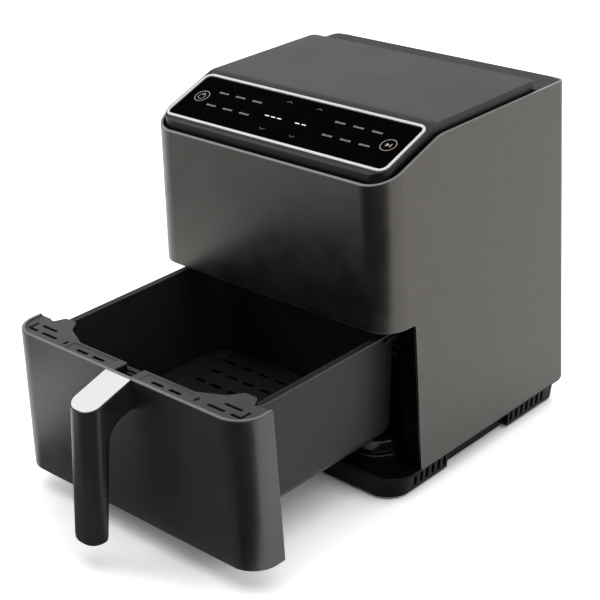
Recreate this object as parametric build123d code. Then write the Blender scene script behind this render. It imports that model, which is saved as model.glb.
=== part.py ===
from build123d import *
import math
import os

# Housing shell
shell_width = 300.0
side_taper = 10.0
shell_depth = 266.0
shell_height = 306.0
shell_wall = 2.5
front_corner = 26.0
rear_corner = 8.0
rear_return = 12.0
base_height = 25.0
opening_height = 145.5
fascia_height = 134.0
slope_run = 79.0
slope_round = 40.0
side_cut = 36.0
cut_round = 4.0
heel_round = 8.0

# Top cover with its sloping control panel
cover_gap = 2.5
cover_setback = 7.0
cover_rise = 9.0
cover_lip_rise = 9.5
cover_wall = 3.2
cover_corner = 16.0
cover_bend = 26.0
cover_lip_round = 3.8
cover_rear_corner = 5.0
cover_skirt = 12.0
skirt_height = 5.0
rear_strip = 42.0
panel_length = 66.0
panel_margin = 4.4
panel_side_margin = 2.2
panel_corner = 9.0
trim_width = 2.6
trim_proud = 0.8
glass_thickness = 2.0
window_margin = 7.0
board_thickness = 1.6
board_drop = 6.0
board_inset = 15.5
board_length = 44.0
display_width = 70.0
display_length = 20.0

# Base
base_inset = 1.0
base_draft = 2.5
lip_overhang = 4.5
deck_thickness = 2.5
base_wall = 2.5
waist_depth = 6.0
waist_front = -50.0
waist_rear = 46.0
waist_lip = 5.5
vent_width = 4.4
vent_pitch = 8.6
vent_height = 14.0
front_vents = 6
rear_vents = 7
vent_margin = 5.0
bottom_thickness = 2.5
bottom_slot_length = 60.0
bottom_slot_width = 4.0
bottom_slot_pitch = 12.0
bottom_slot_count = 7
bottom_slot_gap = 40.0
foot_radius = 10.0
foot_height = 3.0
middle_foot_radius = 14.0
foot_margin_x = 38.0
foot_margin_y = 32.0

# Rear cover
rear_wall = 2.5
louvre_length = 34.0
louvre_height = 4.0
louvre_pitch_x = 42.0
louvre_pitch_z = 9.0
louvre_columns = 3
exhaust_rows = 8
cooling_rows = 6
exhaust_rise = 80.0
cooling_drop = 61.0
stop_radius = 9.0
stop_length = 12.0
stop_spread = 85.0
stop_height = 200.0
gland_x = 92.0
gland_z = 48.0
gland_radius = 9.0
gland_bore = 3.6
gland_flange = 3.0
gland_flange_thickness = 2.0
gland_length = 10.0

# Cooking chamber
chamber_side_gap = 23.0
chamber_rear_gap = 19.0
chamber_corner = 22.0
chamber_headroom = 2.0
liner_wall = 1.2
roof_margin = 5.25
duct_half = 62.0
duct_height = 84.0
duct_wall = 1.5
mouth_frame_thickness = 3.0
shelf_thickness = 2.5
header_clearance = 1.5
rail_width = 6.0
rail_height = 4.0
rail_setback = 18.0
floor_side_gap = 9.0
floor_front_gap = 18.0
floor_rear_gap = 6.0
floor_height = 21.0
floor_corner = 24.0
floor_rim = 10.0
floor_dish = 12.0
floor_sheet = 1.5
floor_step = 4.0
step_height = 9.0
probe_radius = 3.0
probe_length = 7.0
probe_inset_x = 29.0
probe_inset_y = 31.5

# Upper and lower heaters
dome_margin = 12.0
dome_taper = 4.0
dome_height = 40.0
dome_sheet = 1.0
dome_hole = 9.0
heater_tube = 3.2
heater_margin = 4.0
heater_pitch = 13.0
heater_half_turns = 4
heater_bend = 10.0
lower_bend = 5.5
lower_leg = 12.0
heater_lift = 14.0
heater_leg = 22.0
lower_margin = 16.5
lower_heater_half_turns = 6
clip_width = 8.0
clip_thickness = 2.0
clip_count = 3
guard_thickness = 2.0
guard_wire = 2.2
guard_gap = 8.0
guard_rings = 8
guard_spokes = 6
guard_overlap = 4.0

# Fans and motor
shaft_radius = 4.0
shaft_tail = 5.5
fan_gap = 6.0
fan_disc = 1.4
fan_blade_height = 18.0
fan_blades = 12
fan_hub = 9.0
fan_root = 24.0
fan_blade_sweep = 8.0
blade_thickness = 1.4
fan_lift = 6.5
nut_radius = 7.0
nut_height = 5.0
cooler_radius = 58.0
cooler_blades = 9
cooler_blade_height = 13.0
cooler_lift = 7.0
motor_radius = 38.0
motor_height = 38.0
motor_wall = 2.5
stator_bore = 25.0
rotor_radius = 24.2
bearing_radius = 9.5
bearing_height = 7.0
bracket_plate = 2.5
bracket_half = 66.0
bracket_corner = 12.0
bracket_window = 30.0
leg_radius = 5.0
leg_spread = 58.0
leg_height = 34.0
fuse_radius = 5.0
fuse_height = 9.0
fuse_offset = 84.0
power_width = 130.0
power_headroom = 15.0
power_lift = 14.0
power_gap = 13.0
transformer_width = 38.0
transformer_depth = 28.0
relay_width = 20.0
relay_depth = 15.0
capacitor_radius = 6.0
capacitor_depth = 20.0
post_radius = 3.0
post_margin = 7.0

# Drawer
drawer_hold = 42.0
front_gap_top = 4.0
front_gap_bottom = 1.0
front_wall = 3.6
front_lip = 12.0
lip_round = 1.4
cut_gap = 1.0
rim_drop = 7.0
rim_flange = 5.0
rim_thickness = 1.5
basket_gap = 2.2
basket_wall = 1.2
basket_lift = 5.5
basket_offset = 22.0
basket_rear_gap = 6.0
basket_taper = 4.0
basket_corner = 30.0
basket_floor_round = 10.0

# Slotted bracket between the drawer front and the basket
bracket_thickness = 5.5
strip_depth = 20.0
middle_notch = 11.0
lobe_reach = 44.0
lobe_outer = 22.0
lobe_width = 14.0
lobe_run = 34.0
notch_depth = 3.0
notch_width = 5.0
pocket_depth = 4.0
slot_width = 3.8
slot_length = 21.0
near_row = 12.0
far_row = 21.5
near_slot_inset = 37.5
far_slot_inset = 27.0
corner_slot_inset = 10.0
corner_slot_length = 14.0
strip_slot_length = 15.0
strip_slot_pitch = 21.0
strip_row = 10.5
panel_start = 18.5
panel_run = 58.0
panel_edge = 2.0
panel_depth = 0.8
key_inset = 60.0
key_radius = 2.4
key_length = 8.0
key_width = 2.4
web_thickness = 3.0
web_inset = 15.8
web_depth = 100.0
rib_thickness = 3.0
rib_height = 60.0
rib_spacing = 60.0
tab_inset = 10.0
tab_width = 8.0
tab_depth = 7.0
tab_height = 12.0
tab_setback = 1.0

# Handle
handle_width = 32.5
arm_length = 47.5
arm_drop = 14.0
arm_depth = 30.0
grip_reach = 59.0
grip_depth = 21.0
grip_drop = 1.0
handle_top_gap = 1.0
inner_corner_drop = 36.0
inner_corner_reach = 24.0
knuckle_round = 15.0
tip_round = 7.0
palm_round = 20.0
edge_round = 7.5
front_bulge = 2.0
grip_corner = 10.0
plate_thickness = 1.6
plate_length = 46.0
bolt_radius = 2.5
bolt_head = 4.6
bolt_head_height = 3.0
bolt_spacing = 15.0
bolt_depth = 16.0

# Crisper plate
crisper_gap = 3.0
crisper_thickness = 2.0
crisper_lift = 11.0
crisper_corner = 24.0
crisper_slot_length = 15.0
crisper_slot_width = 5.0
crisper_edge_x = 34.0
crisper_edge_y = 22.0
crisper_columns = 8
crisper_rows = 8
bumper_radius = 7.0
bumper_collar = 2.0
bumper_hole = 4.5
bumper_inset = 17.0
arch_width = 34.0
arch_height = 16.0
arch_bar = 5.0
arch_depth = 8.0

# Drawer switch
plunger_radius = 2.2
plunger_collar = 1.2
switch_width = 11.0
switch_height = 20.0
switch_depth = 16.0
switch_stroke = 3.0

# Clearances
seat_gap = 0.2
slide_gap = 0.3
running_gap = 0.05
press_gap = 0.02
fit_gap = 0.3
over = 5.0

# Levels and planes that several pieces share
front_y = -shell_depth / 2
rear_y = shell_depth / 2
shell_top = base_height + shell_height
mouth_top = base_height + opening_height
fascia_top = mouth_top + fascia_height
side_lean = side_taper / shell_height
cover_top = shell_top + cover_rise
cover_inset = shell_wall + cover_gap
cover_front = front_y + cover_setback
cover_rear = rear_y - rear_strip
lip_top = fascia_top + cover_lip_rise
slope_end = front_y + slope_run
panel_angle = math.degrees(math.atan2(cover_top - lip_top, slope_end - cover_front))
frame_front = front_y + side_cut + cut_gap / 2
frame_rear = frame_front + mouth_frame_thickness
chamber_rear = rear_y - chamber_rear_gap
chamber_half = shell_width / 2 - chamber_side_gap
exhaust_centre = base_height + exhaust_rise
cooling_centre = shell_top - cooling_drop
chamber_y = (frame_rear + chamber_rear) / 2
roof_bottom = mouth_top + chamber_headroom
roof_top = roof_bottom + liner_wall
dome_top = roof_top + dome_height
heater_z = roof_top + heater_lift
roof_hole = (chamber_rear - frame_rear) / 2 - roof_margin
dome_radius = roof_hole + dome_margin
heater_outer = roof_hole - heater_margin
fan_radius = heater_outer - heater_half_turns * heater_pitch / 2 - fan_gap
guard_pitch = (roof_hole - guard_gap) / guard_rings
power_height = shell_top - power_headroom - dome_top - power_lift
rail_front = front_y + rail_setback
rim_rear = chamber_rear - basket_rear_gap
drawer_open = rim_rear - rail_front - drawer_hold
drawer_front_y = front_y - drawer_open
front_bottom = base_height + front_gap_bottom
front_top = mouth_top - front_gap_top
rim_top = front_top - rim_drop
bracket_top = rim_top + bracket_thickness
basket_half = chamber_half - basket_gap - rim_flange
basket_front = drawer_front_y + basket_offset
basket_rear = rim_rear - drawer_open - rim_flange
basket_length = basket_rear - basket_front
crisper_y = (basket_front + basket_rear) / 2
web_half = basket_half - web_inset
return_depth = side_cut - cut_gap
tab_rear = return_depth - tab_setback
plunger_tip = front_y + tab_rear + slide_gap
floor_front = front_y + floor_front_gap
floor_rear = chamber_rear - floor_rear_gap
floor_y = (floor_front + floor_rear) / 2
floor_half = chamber_half - floor_side_gap
floor_top = base_height + floor_height
dish_floor = floor_top - floor_dish
lower_heater_outer = (floor_rear - floor_front) / 2 - floor_rim - lower_margin
basket_bottom = floor_top + basket_lift
basket_depth = rim_top - basket_bottom


def shell_half(z):
    """Half the shell's outer width at a height, since its sides lean in towards the top."""
    return shell_width / 2 - side_lean * (z - base_height)


cover_half = shell_half(cover_top) - cover_inset
tab_x = shell_half(rim_top) - tab_inset


def rounded_plan(half_x, y_front, y_rear, r_front, r_rear):
    """A plan outline whose front and rear corners have their own radii."""
    corners = [(-half_x, y_front), (half_x, y_front), (half_x, y_rear), (-half_x, y_rear)]
    face = make_face(Polyline(*corners, close=True))
    if r_front:
        face = fillet(face.vertices().sort_by(Axis.Y)[:2], r_front)
    if r_rear:
        face = fillet(face.vertices().sort_by(Axis.Y)[-2:], r_rear)
    return face


def plan_block(z_low, z_high, half_x, y_front, y_rear, r_front, r_rear):
    """An upright block on a rounded plan."""
    outline = rounded_plan(half_x, y_front, y_rear, r_front, r_rear)
    return extrude(Pos(0, 0, z_low) * outline, amount=z_high - z_low)


def leaning_block(z_low, z_high, inset, y_front, y_rear, r_front, r_rear):
    """A block whose sides lean in with the shell, set in from the shell's outer face."""
    low = rounded_plan(shell_half(z_low) - inset, y_front, y_rear, r_front, r_rear)
    high = rounded_plan(shell_half(z_high) - inset, y_front, y_rear, r_front, r_rear)
    return loft([Pos(0, 0, z_low) * low, Pos(0, 0, z_high) * high], ruled=True)


def side_prism(points, half_x, rounds=()):
    """A side outline, with rounded corners, drawn out across the width."""
    outline = make_face(Polyline(*points, close=True))
    for corner, radius in rounds:
        outline = fillet(outline.vertices().sort_by_distance((*corner, 0))[0], radius)
    return extrude(Plane.YZ * outline, amount=half_x, both=True)


def spread(spots, face):
    """One flat outline repeated at several places."""
    return Sketch() + [spot * face for spot in spots]


def repeated(spots, solid):
    """One solid repeated at several places."""
    return Part() + [spot * solid for spot in spots]


def slots(columns, rows, pitch_x, pitch_y, length, width):
    """A grid of round-ended slots."""
    return spread(GridLocations(pitch_x, pitch_y, columns, rows), SlotOverall(length, width))


def mirrored(solid):
    """A piece together with its twin on the other side."""
    return Part() + solid + mirror(solid, about=Plane.YZ)


def slope_plane(depth):
    """The plane of the control panel, below its face by a depth, centred on the panel."""
    angle = math.radians(panel_angle)
    along = panel_margin + panel_length / 2
    y = cover_front + along * math.cos(angle) + depth * math.sin(angle)
    z = lip_top + along * math.sin(angle) - depth * math.cos(angle)
    return Plane(origin=(0, y, z), x_dir=(1, 0, 0), z_dir=(0, -math.sin(angle), math.cos(angle)))


def make_outer_shell():
    """One moulding: fascia and two leaning sides, with the drawer's mouth cut out of it."""
    outer = leaning_block(base_height, shell_top, 0, front_y, rear_y, front_corner, rear_corner)
    hollow = leaning_block(base_height - over, shell_top + over, shell_wall, front_y + shell_wall,
                           rear_y - shell_wall, front_corner - shell_wall, rear_corner - shell_wall)
    back = leaning_block(base_height - over, shell_top + over, rear_return, 0, rear_y + over, 0, 0)
    fall = (shell_top - fascia_top) / slope_run * over
    side = side_prism(
        [(front_y + side_cut, base_height), (rear_y, base_height), (rear_y, shell_top),
         (slope_end, shell_top), (front_y - over, fascia_top - fall), (front_y - over, mouth_top),
         (front_y + side_cut, mouth_top)],
        shell_width,
        [((rear_y, base_height), heel_round), ((slope_end, shell_top), slope_round),
         ((front_y + side_cut, mouth_top), cut_round)])
    return (outer - hollow - back) & side


def cover_outline(sink, grow):
    """Points of the top cover's side outline, sunk inwards by a wall or grown past its open side."""
    angle = math.radians(panel_angle)
    bend = sink * math.tan(angle / 2)
    lip = sink * (1 / math.cos(angle) - math.tan(angle))
    climb = (cover_setback + sink) * (shell_top - fascia_top) / slope_run
    return [(cover_front + sink, fascia_top - cover_skirt + climb - grow),
            (cover_front + sink, lip_top - lip),
            (slope_end + bend, cover_top - sink),
            (cover_rear - sink, cover_top - sink),
            (cover_rear - sink, shell_top - cover_skirt - grow),
            (slope_end, shell_top - cover_skirt - grow)]


def make_top_cover():
    """The raised lid: a sloping front for the controls, a flat top and a skirt inside the shell."""
    def body(sink, grow):
        outline = cover_outline(sink, grow)
        rounds = [(outline[1], cover_lip_round - sink), (outline[2], cover_bend - sink)]
        block = plan_block(mouth_top, cover_top + over, cover_half - sink, cover_front + sink,
                           cover_rear - sink, cover_corner - sink, cover_rear_corner - sink)
        return side_prism(outline, shell_width, rounds) & block

    lid = body(0, 0) - body(cover_wall, over)
    band = side_prism(
        [(front_y, fascia_top - cover_skirt), (front_y, fascia_top - cover_skirt + skirt_height),
         (slope_end, shell_top - cover_skirt + skirt_height),
         (cover_rear, shell_top - cover_skirt + skirt_height),
         (cover_rear, shell_top - cover_skirt), (slope_end, shell_top - cover_skirt)], shell_width)
    wide = plan_block(mouth_top, shell_top, cover_half + cover_gap - seat_gap,
                      front_y + shell_wall + seat_gap, cover_rear - cover_rear_corner,
                      front_corner - shell_wall, 0)
    core = plan_block(mouth_top - over, shell_top + over, cover_half - cover_wall,
                      cover_front + cover_wall, cover_rear - cover_wall,
                      cover_corner - cover_wall, cover_rear_corner - cover_wall)
    skirt = (wide & band) - core
    seat = extrude(slope_plane(glass_thickness) * panel_face(0), amount=over)
    window = extrude(slope_plane(cover_wall + over) * panel_face(window_margin), amount=2 * over)
    return lid + skirt - seat - window


def panel_half():
    """Half the width of the control panel, which the leaning cover limits at its upper end."""
    return cover_half - panel_side_margin


def panel_face(inset):
    """The control panel's rounded outline, set in from its edge."""
    radius = max(panel_corner - inset, trim_width)
    return RectangleRounded(2 * (panel_half() - inset), panel_length - 2 * inset, radius)


def make_trim_frame():
    """The bright frame pressed into the cover round the glass."""
    ring = panel_face(press_gap) - panel_face(trim_width)
    return extrude(slope_plane(glass_thickness) * ring, amount=glass_thickness + trim_proud)


def make_touch_glass():
    """The black touch glass inside the bright frame."""
    sheet = panel_face(trim_width + press_gap)
    return extrude(slope_plane(glass_thickness) * sheet, amount=glass_thickness)


def make_control_board():
    """The display and touch board, on posts under the sloping panel."""
    board_width = 2 * (panel_half() - board_inset)
    back = slope_plane(cover_wall + board_drop + board_thickness)
    board = extrude(back * Rectangle(board_width + 2 * window_margin, board_length),
                    amount=board_thickness)
    spots = GridLocations(board_width + window_margin, board_length - window_margin, 2, 2)
    posts = extrude(back * spread(spots, Circle(post_radius)), amount=board_drop + board_thickness)
    screen_height = board_thickness + board_drop + cover_wall - glass_thickness - seat_gap
    screen = extrude(back * Rectangle(display_width, display_length), amount=screen_height)
    return board + posts + screen


def make_rear_cover():
    """The back: a louvred wall between the shell's rear edges, with a flat strip over the top."""
    ell = side_prism(
        [(rear_y - rear_wall, base_height), (rear_y, base_height), (rear_y, shell_top),
         (cover_rear + fit_gap, shell_top), (cover_rear + fit_gap, shell_top - rear_wall),
         (rear_y - rear_wall, shell_top - rear_wall)], shell_width)
    narrow = leaning_block(base_height - over, shell_top + over, rear_return + fit_gap, 0,
                           rear_y + over, 0, 0)
    strip = leaning_block(shell_top - rear_wall, shell_top, shell_wall + fit_gap,
                          cover_rear + fit_gap, rear_y - shell_wall - fit_gap, 0, rear_corner)
    back = Plane(origin=(0, rear_y + over, 0), x_dir=(-1, 0, 0), z_dir=(0, 1, 0))
    exhaust = slots(louvre_columns, exhaust_rows, louvre_pitch_x, louvre_pitch_z,
                    louvre_length, louvre_height)
    cooling = slots(louvre_columns, cooling_rows, louvre_pitch_x, louvre_pitch_z,
                    louvre_length, louvre_height)
    cuts = Pos(0, exhaust_centre) * exhaust + Pos(0, cooling_centre) * cooling
    cuts += Pos(-gland_x, gland_z) * Circle(gland_radius)
    return (ell & narrow) + strip - extrude(back * cuts, amount=-2 * over - rear_wall)


def make_wall_stops():
    """Two short stops that keep the vents away from a wall behind."""
    plane = Plane(origin=(0, rear_y, 0), x_dir=(-1, 0, 0), z_dir=(0, 1, 0))
    feet = spread(Locations((stop_spread, stop_height), (-stop_spread, stop_height)),
                  Circle(stop_radius))
    return extrude(plane * feet, amount=stop_length, taper=stop_radius / stop_length)


def make_cord_gland():
    """The bush in the back through which a cord would enter."""
    plane = Plane(origin=(gland_x, rear_y, gland_z), x_dir=(-1, 0, 0), z_dir=(0, 1, 0))
    flange = extrude(plane * Circle(gland_radius + gland_flange), amount=gland_flange_thickness)
    neck = extrude(plane * Circle(gland_radius - press_gap), amount=-gland_length)
    bore = extrude(plane * Circle(gland_bore), amount=over, both=True) \
        + extrude(plane * Circle(gland_bore), amount=-gland_length - over)
    return flange + neck - bore


def base_draft_at(z):
    """How far the base's wall stands in from the shell's face at a height."""
    return base_inset + base_draft * (base_height - z) / base_height


def base_block(z_low, z_high, inset):
    """The base's drafted wall between two heights, kept under the lip at the sides and the back."""
    def section(z):
        draft = base_draft_at(z)
        corner = max(front_corner - draft - inset, base_wall)
        heel = max(rear_corner - inset, base_wall)
        outline = rounded_plan(shell_width / 2 - lip_overhang - draft - inset, front_y + draft + inset,
                               rear_y - lip_overhang - draft - inset, corner, heel)
        return Pos(0, 0, z) * outline
    return loft([section(z_low), section(z_high)], ruled=True)


def base_vents():
    """Upright slots through the base's sides, in a front and a rear block."""
    front_run = (front_vents - 1) * vent_pitch
    rear_run = (rear_vents - 1) * vent_pitch
    front_mid = waist_front - vent_margin - front_run / 2
    rear_mid = waist_rear + vent_margin + rear_run / 2
    slot = SlotOverall(vent_height, vent_width, rotation=90)
    rows = spread(GridLocations(vent_pitch, 0, front_vents, 1), slot)
    backs = spread(GridLocations(vent_pitch, 0, rear_vents, 1), slot)
    level = foot_height + bottom_thickness + vent_height / 2 + base_inset
    cuts = Pos(front_mid, level) * rows + Pos(rear_mid, level) * backs
    return extrude(Plane.YZ * cuts, amount=shell_width, both=True)


def waist_cut(wall, height):
    """What the waist takes from the base's two sides up to a height, grown by a wall."""
    side = shell_width / 2 - lip_overhang - base_draft_at(0) - waist_depth - wall
    length = waist_rear - waist_front + 2 * wall
    middle = Pos(0, (waist_front + waist_rear) / 2, height / 2)
    return middle * (Box(2 * shell_width, length, height) - Box(2 * side, length, height))


def make_base_tray():
    """The base moulding: a lipped deck with drafted walls, waisted at the sides and slotted for air."""
    deck = base_height - deck_thickness
    lip = plan_block(deck, base_height, shell_width / 2 - base_inset, front_y + base_draft_at(deck),
                     rear_y - base_inset, front_corner - base_inset, rear_corner)
    outer = base_block(foot_height, deck, 0) - waist_cut(0, base_height - waist_lip) + lip
    hollow = base_block(0, deck, base_wall) - waist_cut(base_wall, base_height)
    throat = plan_block(0, base_height + over, floor_half - floor_rim, floor_front + floor_rim,
                        floor_rear - floor_rim, floor_corner - floor_rim, floor_corner - floor_rim)
    return outer - hollow - base_vents() - throat


def make_bottom_plate():
    """The plate that closes the base from below, slotted under the lower heater."""
    plate = base_block(foot_height, foot_height + bottom_thickness, base_wall + fit_gap)
    vents = slots(2, bottom_slot_count, bottom_slot_length + bottom_slot_gap, bottom_slot_pitch,
                  bottom_slot_length, bottom_slot_width)
    return plate - waist_cut(base_wall + fit_gap, base_height) - extrude(vents, amount=base_height)


def make_rubber_feet():
    """Pads under the bottom plate: one near each corner and one in the middle."""
    spots = GridLocations(shell_width - 2 * foot_margin_x, shell_depth - 2 * foot_margin_y, 2, 2)
    pads = spread(spots, Circle(foot_radius)) + Circle(middle_foot_radius)
    return extrude(pads, amount=foot_height)


def make_mouth_frame():
    """The black frame round the drawer's mouth, with a shelf that closes it under the fascia."""
    shelf_top = mouth_top + shelf_thickness
    plate = leaning_block(base_height, shelf_top, shell_wall + seat_gap, frame_front, frame_rear, 0, 0)
    shelf = leaning_block(mouth_top, shelf_top, shell_wall + seat_gap, front_y + shell_wall + seat_gap,
                          frame_rear, front_corner - shell_wall, 0)
    opening_top = bracket_top + header_clearance
    opening = Pos(0, (frame_front + frame_rear) / 2, (base_height + opening_top) / 2) * Box(
        2 * chamber_half, 2 * mouth_frame_thickness, opening_top - base_height)
    hole = Plane(origin=(tab_x, frame_front - over, plunger_level()), z_dir=(0, 1, 0)) \
        * Circle(plunger_radius + running_gap)
    return plate + shelf - opening - extrude(hole, amount=2 * over + mouth_frame_thickness)


def plunger_level():
    """Height of the drawer switch, at the middle of the tab that presses it."""
    return rim_top - tab_height / 2


def make_chamber_liner():
    """The sheet liner the basket slides into: two sides, a back with a vent and a holed roof."""
    outer = plan_block(base_height, roof_top, chamber_half + liner_wall, frame_rear,
                       chamber_rear + liner_wall, 0, chamber_corner + liner_wall)
    hollow = plan_block(base_height - over, roof_bottom, chamber_half, frame_rear - over,
                        chamber_rear, 0, chamber_corner)
    fan_hole = Pos(0, chamber_y, roof_bottom) * Cylinder(roof_hole, 4 * over)
    vent = Pos(0, chamber_rear, exhaust_centre) * Box(2 * duct_half, 2 * over, duct_height)
    return outer - hollow - fan_hole - vent


def make_exhaust_duct():
    """The short duct from the chamber's back to the louvres."""
    length = rear_y - rear_wall - chamber_rear - liner_wall
    middle = Pos(0, chamber_rear + liner_wall + length / 2, exhaust_centre)
    outer = Box(2 * (duct_half + duct_wall), length, duct_height + 2 * duct_wall)
    inner = Box(2 * duct_half, length + over, duct_height)
    return middle * (outer - inner)


def make_rail():
    """The right-hand runner on the liner's side, under the basket's rim."""
    top = rim_top - rim_thickness - slide_gap
    length = chamber_rear - chamber_corner - rail_front
    bar = Box(rail_width, length, rail_height)
    bar = chamfer(bar.edges().filter_by(Axis.X).group_by(Axis.Y)[0], rail_height / 4)
    return Pos(chamber_half - rail_width / 2, rail_front + length / 2, top - rail_height / 2) * bar


def make_chamber_floor():
    """The raised sheet floor on a stepped foot, with a dish in it for the lower heater."""
    def ring(inset):
        return rounded_plan(floor_half - inset, floor_front + inset, floor_rear - inset,
                            floor_corner - inset / 2, floor_corner - inset / 2)
    def tier(inset, height):
        return extrude(Pos(0, 0, base_height) * ring(inset), amount=height)
    block = fillet(tier(0, floor_height).edges().group_by(Axis.Z)[-1], floor_sheet)
    block += fillet(tier(-floor_step, step_height).edges().group_by(Axis.Z)[-1], floor_sheet)
    under = tier(floor_sheet, floor_height - floor_sheet)
    under += tier(floor_sheet - floor_step, step_height - floor_sheet)
    pressed = extrude(Pos(0, 0, dish_floor - floor_sheet) * ring(floor_rim - floor_sheet),
                      amount=floor_dish)
    dish = extrude(Pos(0, 0, dish_floor) * ring(floor_rim), amount=floor_dish)
    ends = heater_ends(lower_heater_outer, lower_heater_half_turns, lower_bend)
    holes = Pos(0, floor_y) * spread(Locations(*ends), Circle(heater_tube + fit_gap))
    return block - (under - pressed) - dish - extrude(Pos(0, 0, base_height) * holes, amount=floor_height)


def heater_ends(outer, half_turns, bend):
    """Plan points where a spiral heater's two legs leave its plane."""
    inner = outer
    side = 1
    for turn in range(half_turns):
        radius = outer - turn * heater_pitch / 2
        inner = inner - side * 2 * radius
        side = -side
    return [(outer, -bend), (inner, side * bend)]


def make_spiral_heater(outer, half_turns, bend, leg, up):
    """A sheathed heater: half circles that wind inwards, with a bent leg at each end."""
    start, end = heater_ends(outer, half_turns, bend)
    half_out = bend * math.sin(math.radians(45))
    half_up = up * (bend - half_out)
    path = [Line((*start, up * (bend + leg)), (*start, up * bend)),
            ThreePointArc((*start, up * bend), (outer, -half_out, half_up), (outer, 0, 0))]
    x = outer
    side = 1
    for turn in range(half_turns):
        radius = outer - turn * heater_pitch / 2
        far = x - side * 2 * radius
        path.append(ThreePointArc((x, 0, 0), ((x + far) / 2, side * radius, 0), (far, 0, 0)))
        x = far
        side = -side
    path.append(ThreePointArc((x, 0, 0), (x, side * half_out, half_up), (*end, up * bend)))
    path.append(Line((*end, up * bend), (*end, up * (bend + leg))))
    wire = Wire(path)
    return sweep(Plane(origin=wire @ 0, z_dir=wire % 0) * Circle(heater_tube), path=wire)


def make_upper_heater():
    """The heater round the hot fan, its legs up through the dome."""
    coil = make_spiral_heater(heater_outer, heater_half_turns, heater_bend, heater_leg, 1)
    return Pos(0, chamber_y, heater_z) * coil


def make_lower_heater():
    """The heater in the floor's dish, its legs down into the base."""
    coil = make_spiral_heater(lower_heater_outer, lower_heater_half_turns, lower_bend, lower_leg, -1)
    return Pos(0, floor_y, dish_floor + 2 * heater_tube + seat_gap) * coil


def make_heater_dome():
    """The reflector pressed from sheet, over the fan and the upper heater."""
    def profile(shrink):
        return [(0, roof_top), (dome_radius - shrink, roof_top),
                (dome_radius - dome_taper - shrink, dome_top - shrink), (0, dome_top - shrink)]
    outer = revolve(Plane.XZ * make_face(Polyline(*profile(0), close=True)), Axis.Z)
    inner = revolve(Plane.XZ * make_face(Polyline(*profile(dome_sheet), close=True)), Axis.Z)
    hole = Pos(0, 0, dome_top) * Cylinder(dome_hole, 2 * over)
    ends = heater_ends(heater_outer, heater_half_turns, heater_bend)
    legs = spread(Locations(*ends), Circle(heater_tube + fit_gap))
    leg_holes = extrude(Pos(0, 0, dome_top - over) * legs, amount=2 * over)
    return Pos(0, chamber_y, 0) * (outer - inner - hole - leg_holes)


def make_heater_clips():
    """Bars across the dome's wall on which the upper heater lies."""
    top = heater_z - heater_tube - seat_gap
    rise = (top - roof_top) / dome_height
    outer = dome_radius - dome_sheet - dome_taper * rise - seat_gap
    inner = fan_radius + fan_gap
    length = outer - inner
    bar = Pos(inner + length / 2, 0, top - clip_thickness / 2) * Box(length, clip_width, clip_thickness)
    return Pos(0, chamber_y, 0) * repeated(PolarLocations(0, clip_count, start_angle=90), bar)


def make_dish_clips():
    """Rests that hold the lower heater above its dish."""
    bar = Pos(lower_heater_outer - heater_pitch, 0, dish_floor + heater_tube / 2) * Box(
        3 * heater_pitch, clip_width, heater_tube)
    return Pos(0, floor_y, 0) * repeated(PolarLocations(0, clip_count, start_angle=90), bar)


def make_heater_guard():
    """The guard of rings and spokes under the fan opening."""
    rim = roof_hole + guard_overlap
    face = Circle(rim) - Circle(rim - 2 * guard_wire)
    for ring in range(guard_rings):
        radius = guard_pitch * (ring + 1)
        face += Circle(radius + guard_wire / 2) - Circle(radius - guard_wire / 2)
    reach = rim - guard_wire - (guard_pitch - guard_wire / 2)
    spoke = Pos(guard_pitch - guard_wire / 2 + reach / 2, 0) * Rectangle(reach, guard_wire)
    face += spread(PolarLocations(0, guard_spokes), spoke)
    level = roof_bottom - seat_gap - guard_thickness
    return extrude(Pos(0, chamber_y, level) * face, amount=guard_thickness)


def radial_fan(radius, blades, blade_height, root, sweep_back, level):
    """A hub and disc with swept upright blades, bored for the shaft."""
    disc = extrude(Circle(radius), amount=fan_disc)
    hub = extrude(Circle(fan_hub), amount=blade_height + fan_disc)
    start = Vector(root, 0)
    end = Vector(radius - fan_disc, -sweep_back)
    middle = (start + end) / 2 + Vector(0, sweep_back / 2)
    curve = ThreePointArc(start, middle, end)
    blade = trace(curve, line_width=blade_thickness)
    body = disc + hub
    body += repeated(PolarLocations(0, blades), extrude(blade, amount=blade_height + fan_disc))
    bore = Cylinder(shaft_radius + press_gap, 4 * blade_height)
    return Pos(0, chamber_y, level) * (body - bore)


fan_level = roof_top + fan_lift
cooler_level = dome_top + cooler_lift
motor_plate_level = dome_top + leg_height
motor_level = motor_plate_level + bracket_plate
motor_top = motor_level + motor_height
shaft_bottom = fan_level - nut_height - seat_gap
shaft_top = motor_top + shaft_tail


def make_motor_shaft():
    """One shaft through motor, cooling fan, dome and hot fan."""
    length = shaft_top - shaft_bottom
    rod = Pos(0, chamber_y, shaft_bottom + length / 2) * Cylinder(shaft_radius, length)
    return chamfer(rod.edges().filter_by(GeomType.CIRCLE), shaft_radius / 8)


def make_fan_nut():
    """The hexagon nut that holds the hot fan on."""
    nut = extrude(RegularPolygon(nut_radius, 6) - Circle(shaft_radius + press_gap), amount=nut_height)
    return Pos(0, chamber_y, fan_level - nut_height) * nut


def make_motor_can():
    """The motor's casing and stator, with a seat for a bearing at each end."""
    can = Pos(0, 0, motor_height / 2) * Cylinder(motor_radius, motor_height)
    can = fillet(can.edges().filter_by(GeomType.CIRCLE).group_by(Axis.Z)[-1], motor_wall)
    space = motor_height - 2 * (bearing_height + motor_wall)
    cavity = Pos(0, 0, motor_height / 2) * Cylinder(stator_bore, space)
    seats = Cylinder(bearing_radius + press_gap, 3 * motor_height)
    return Pos(0, chamber_y, motor_level) * (can - cavity - seats)


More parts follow.
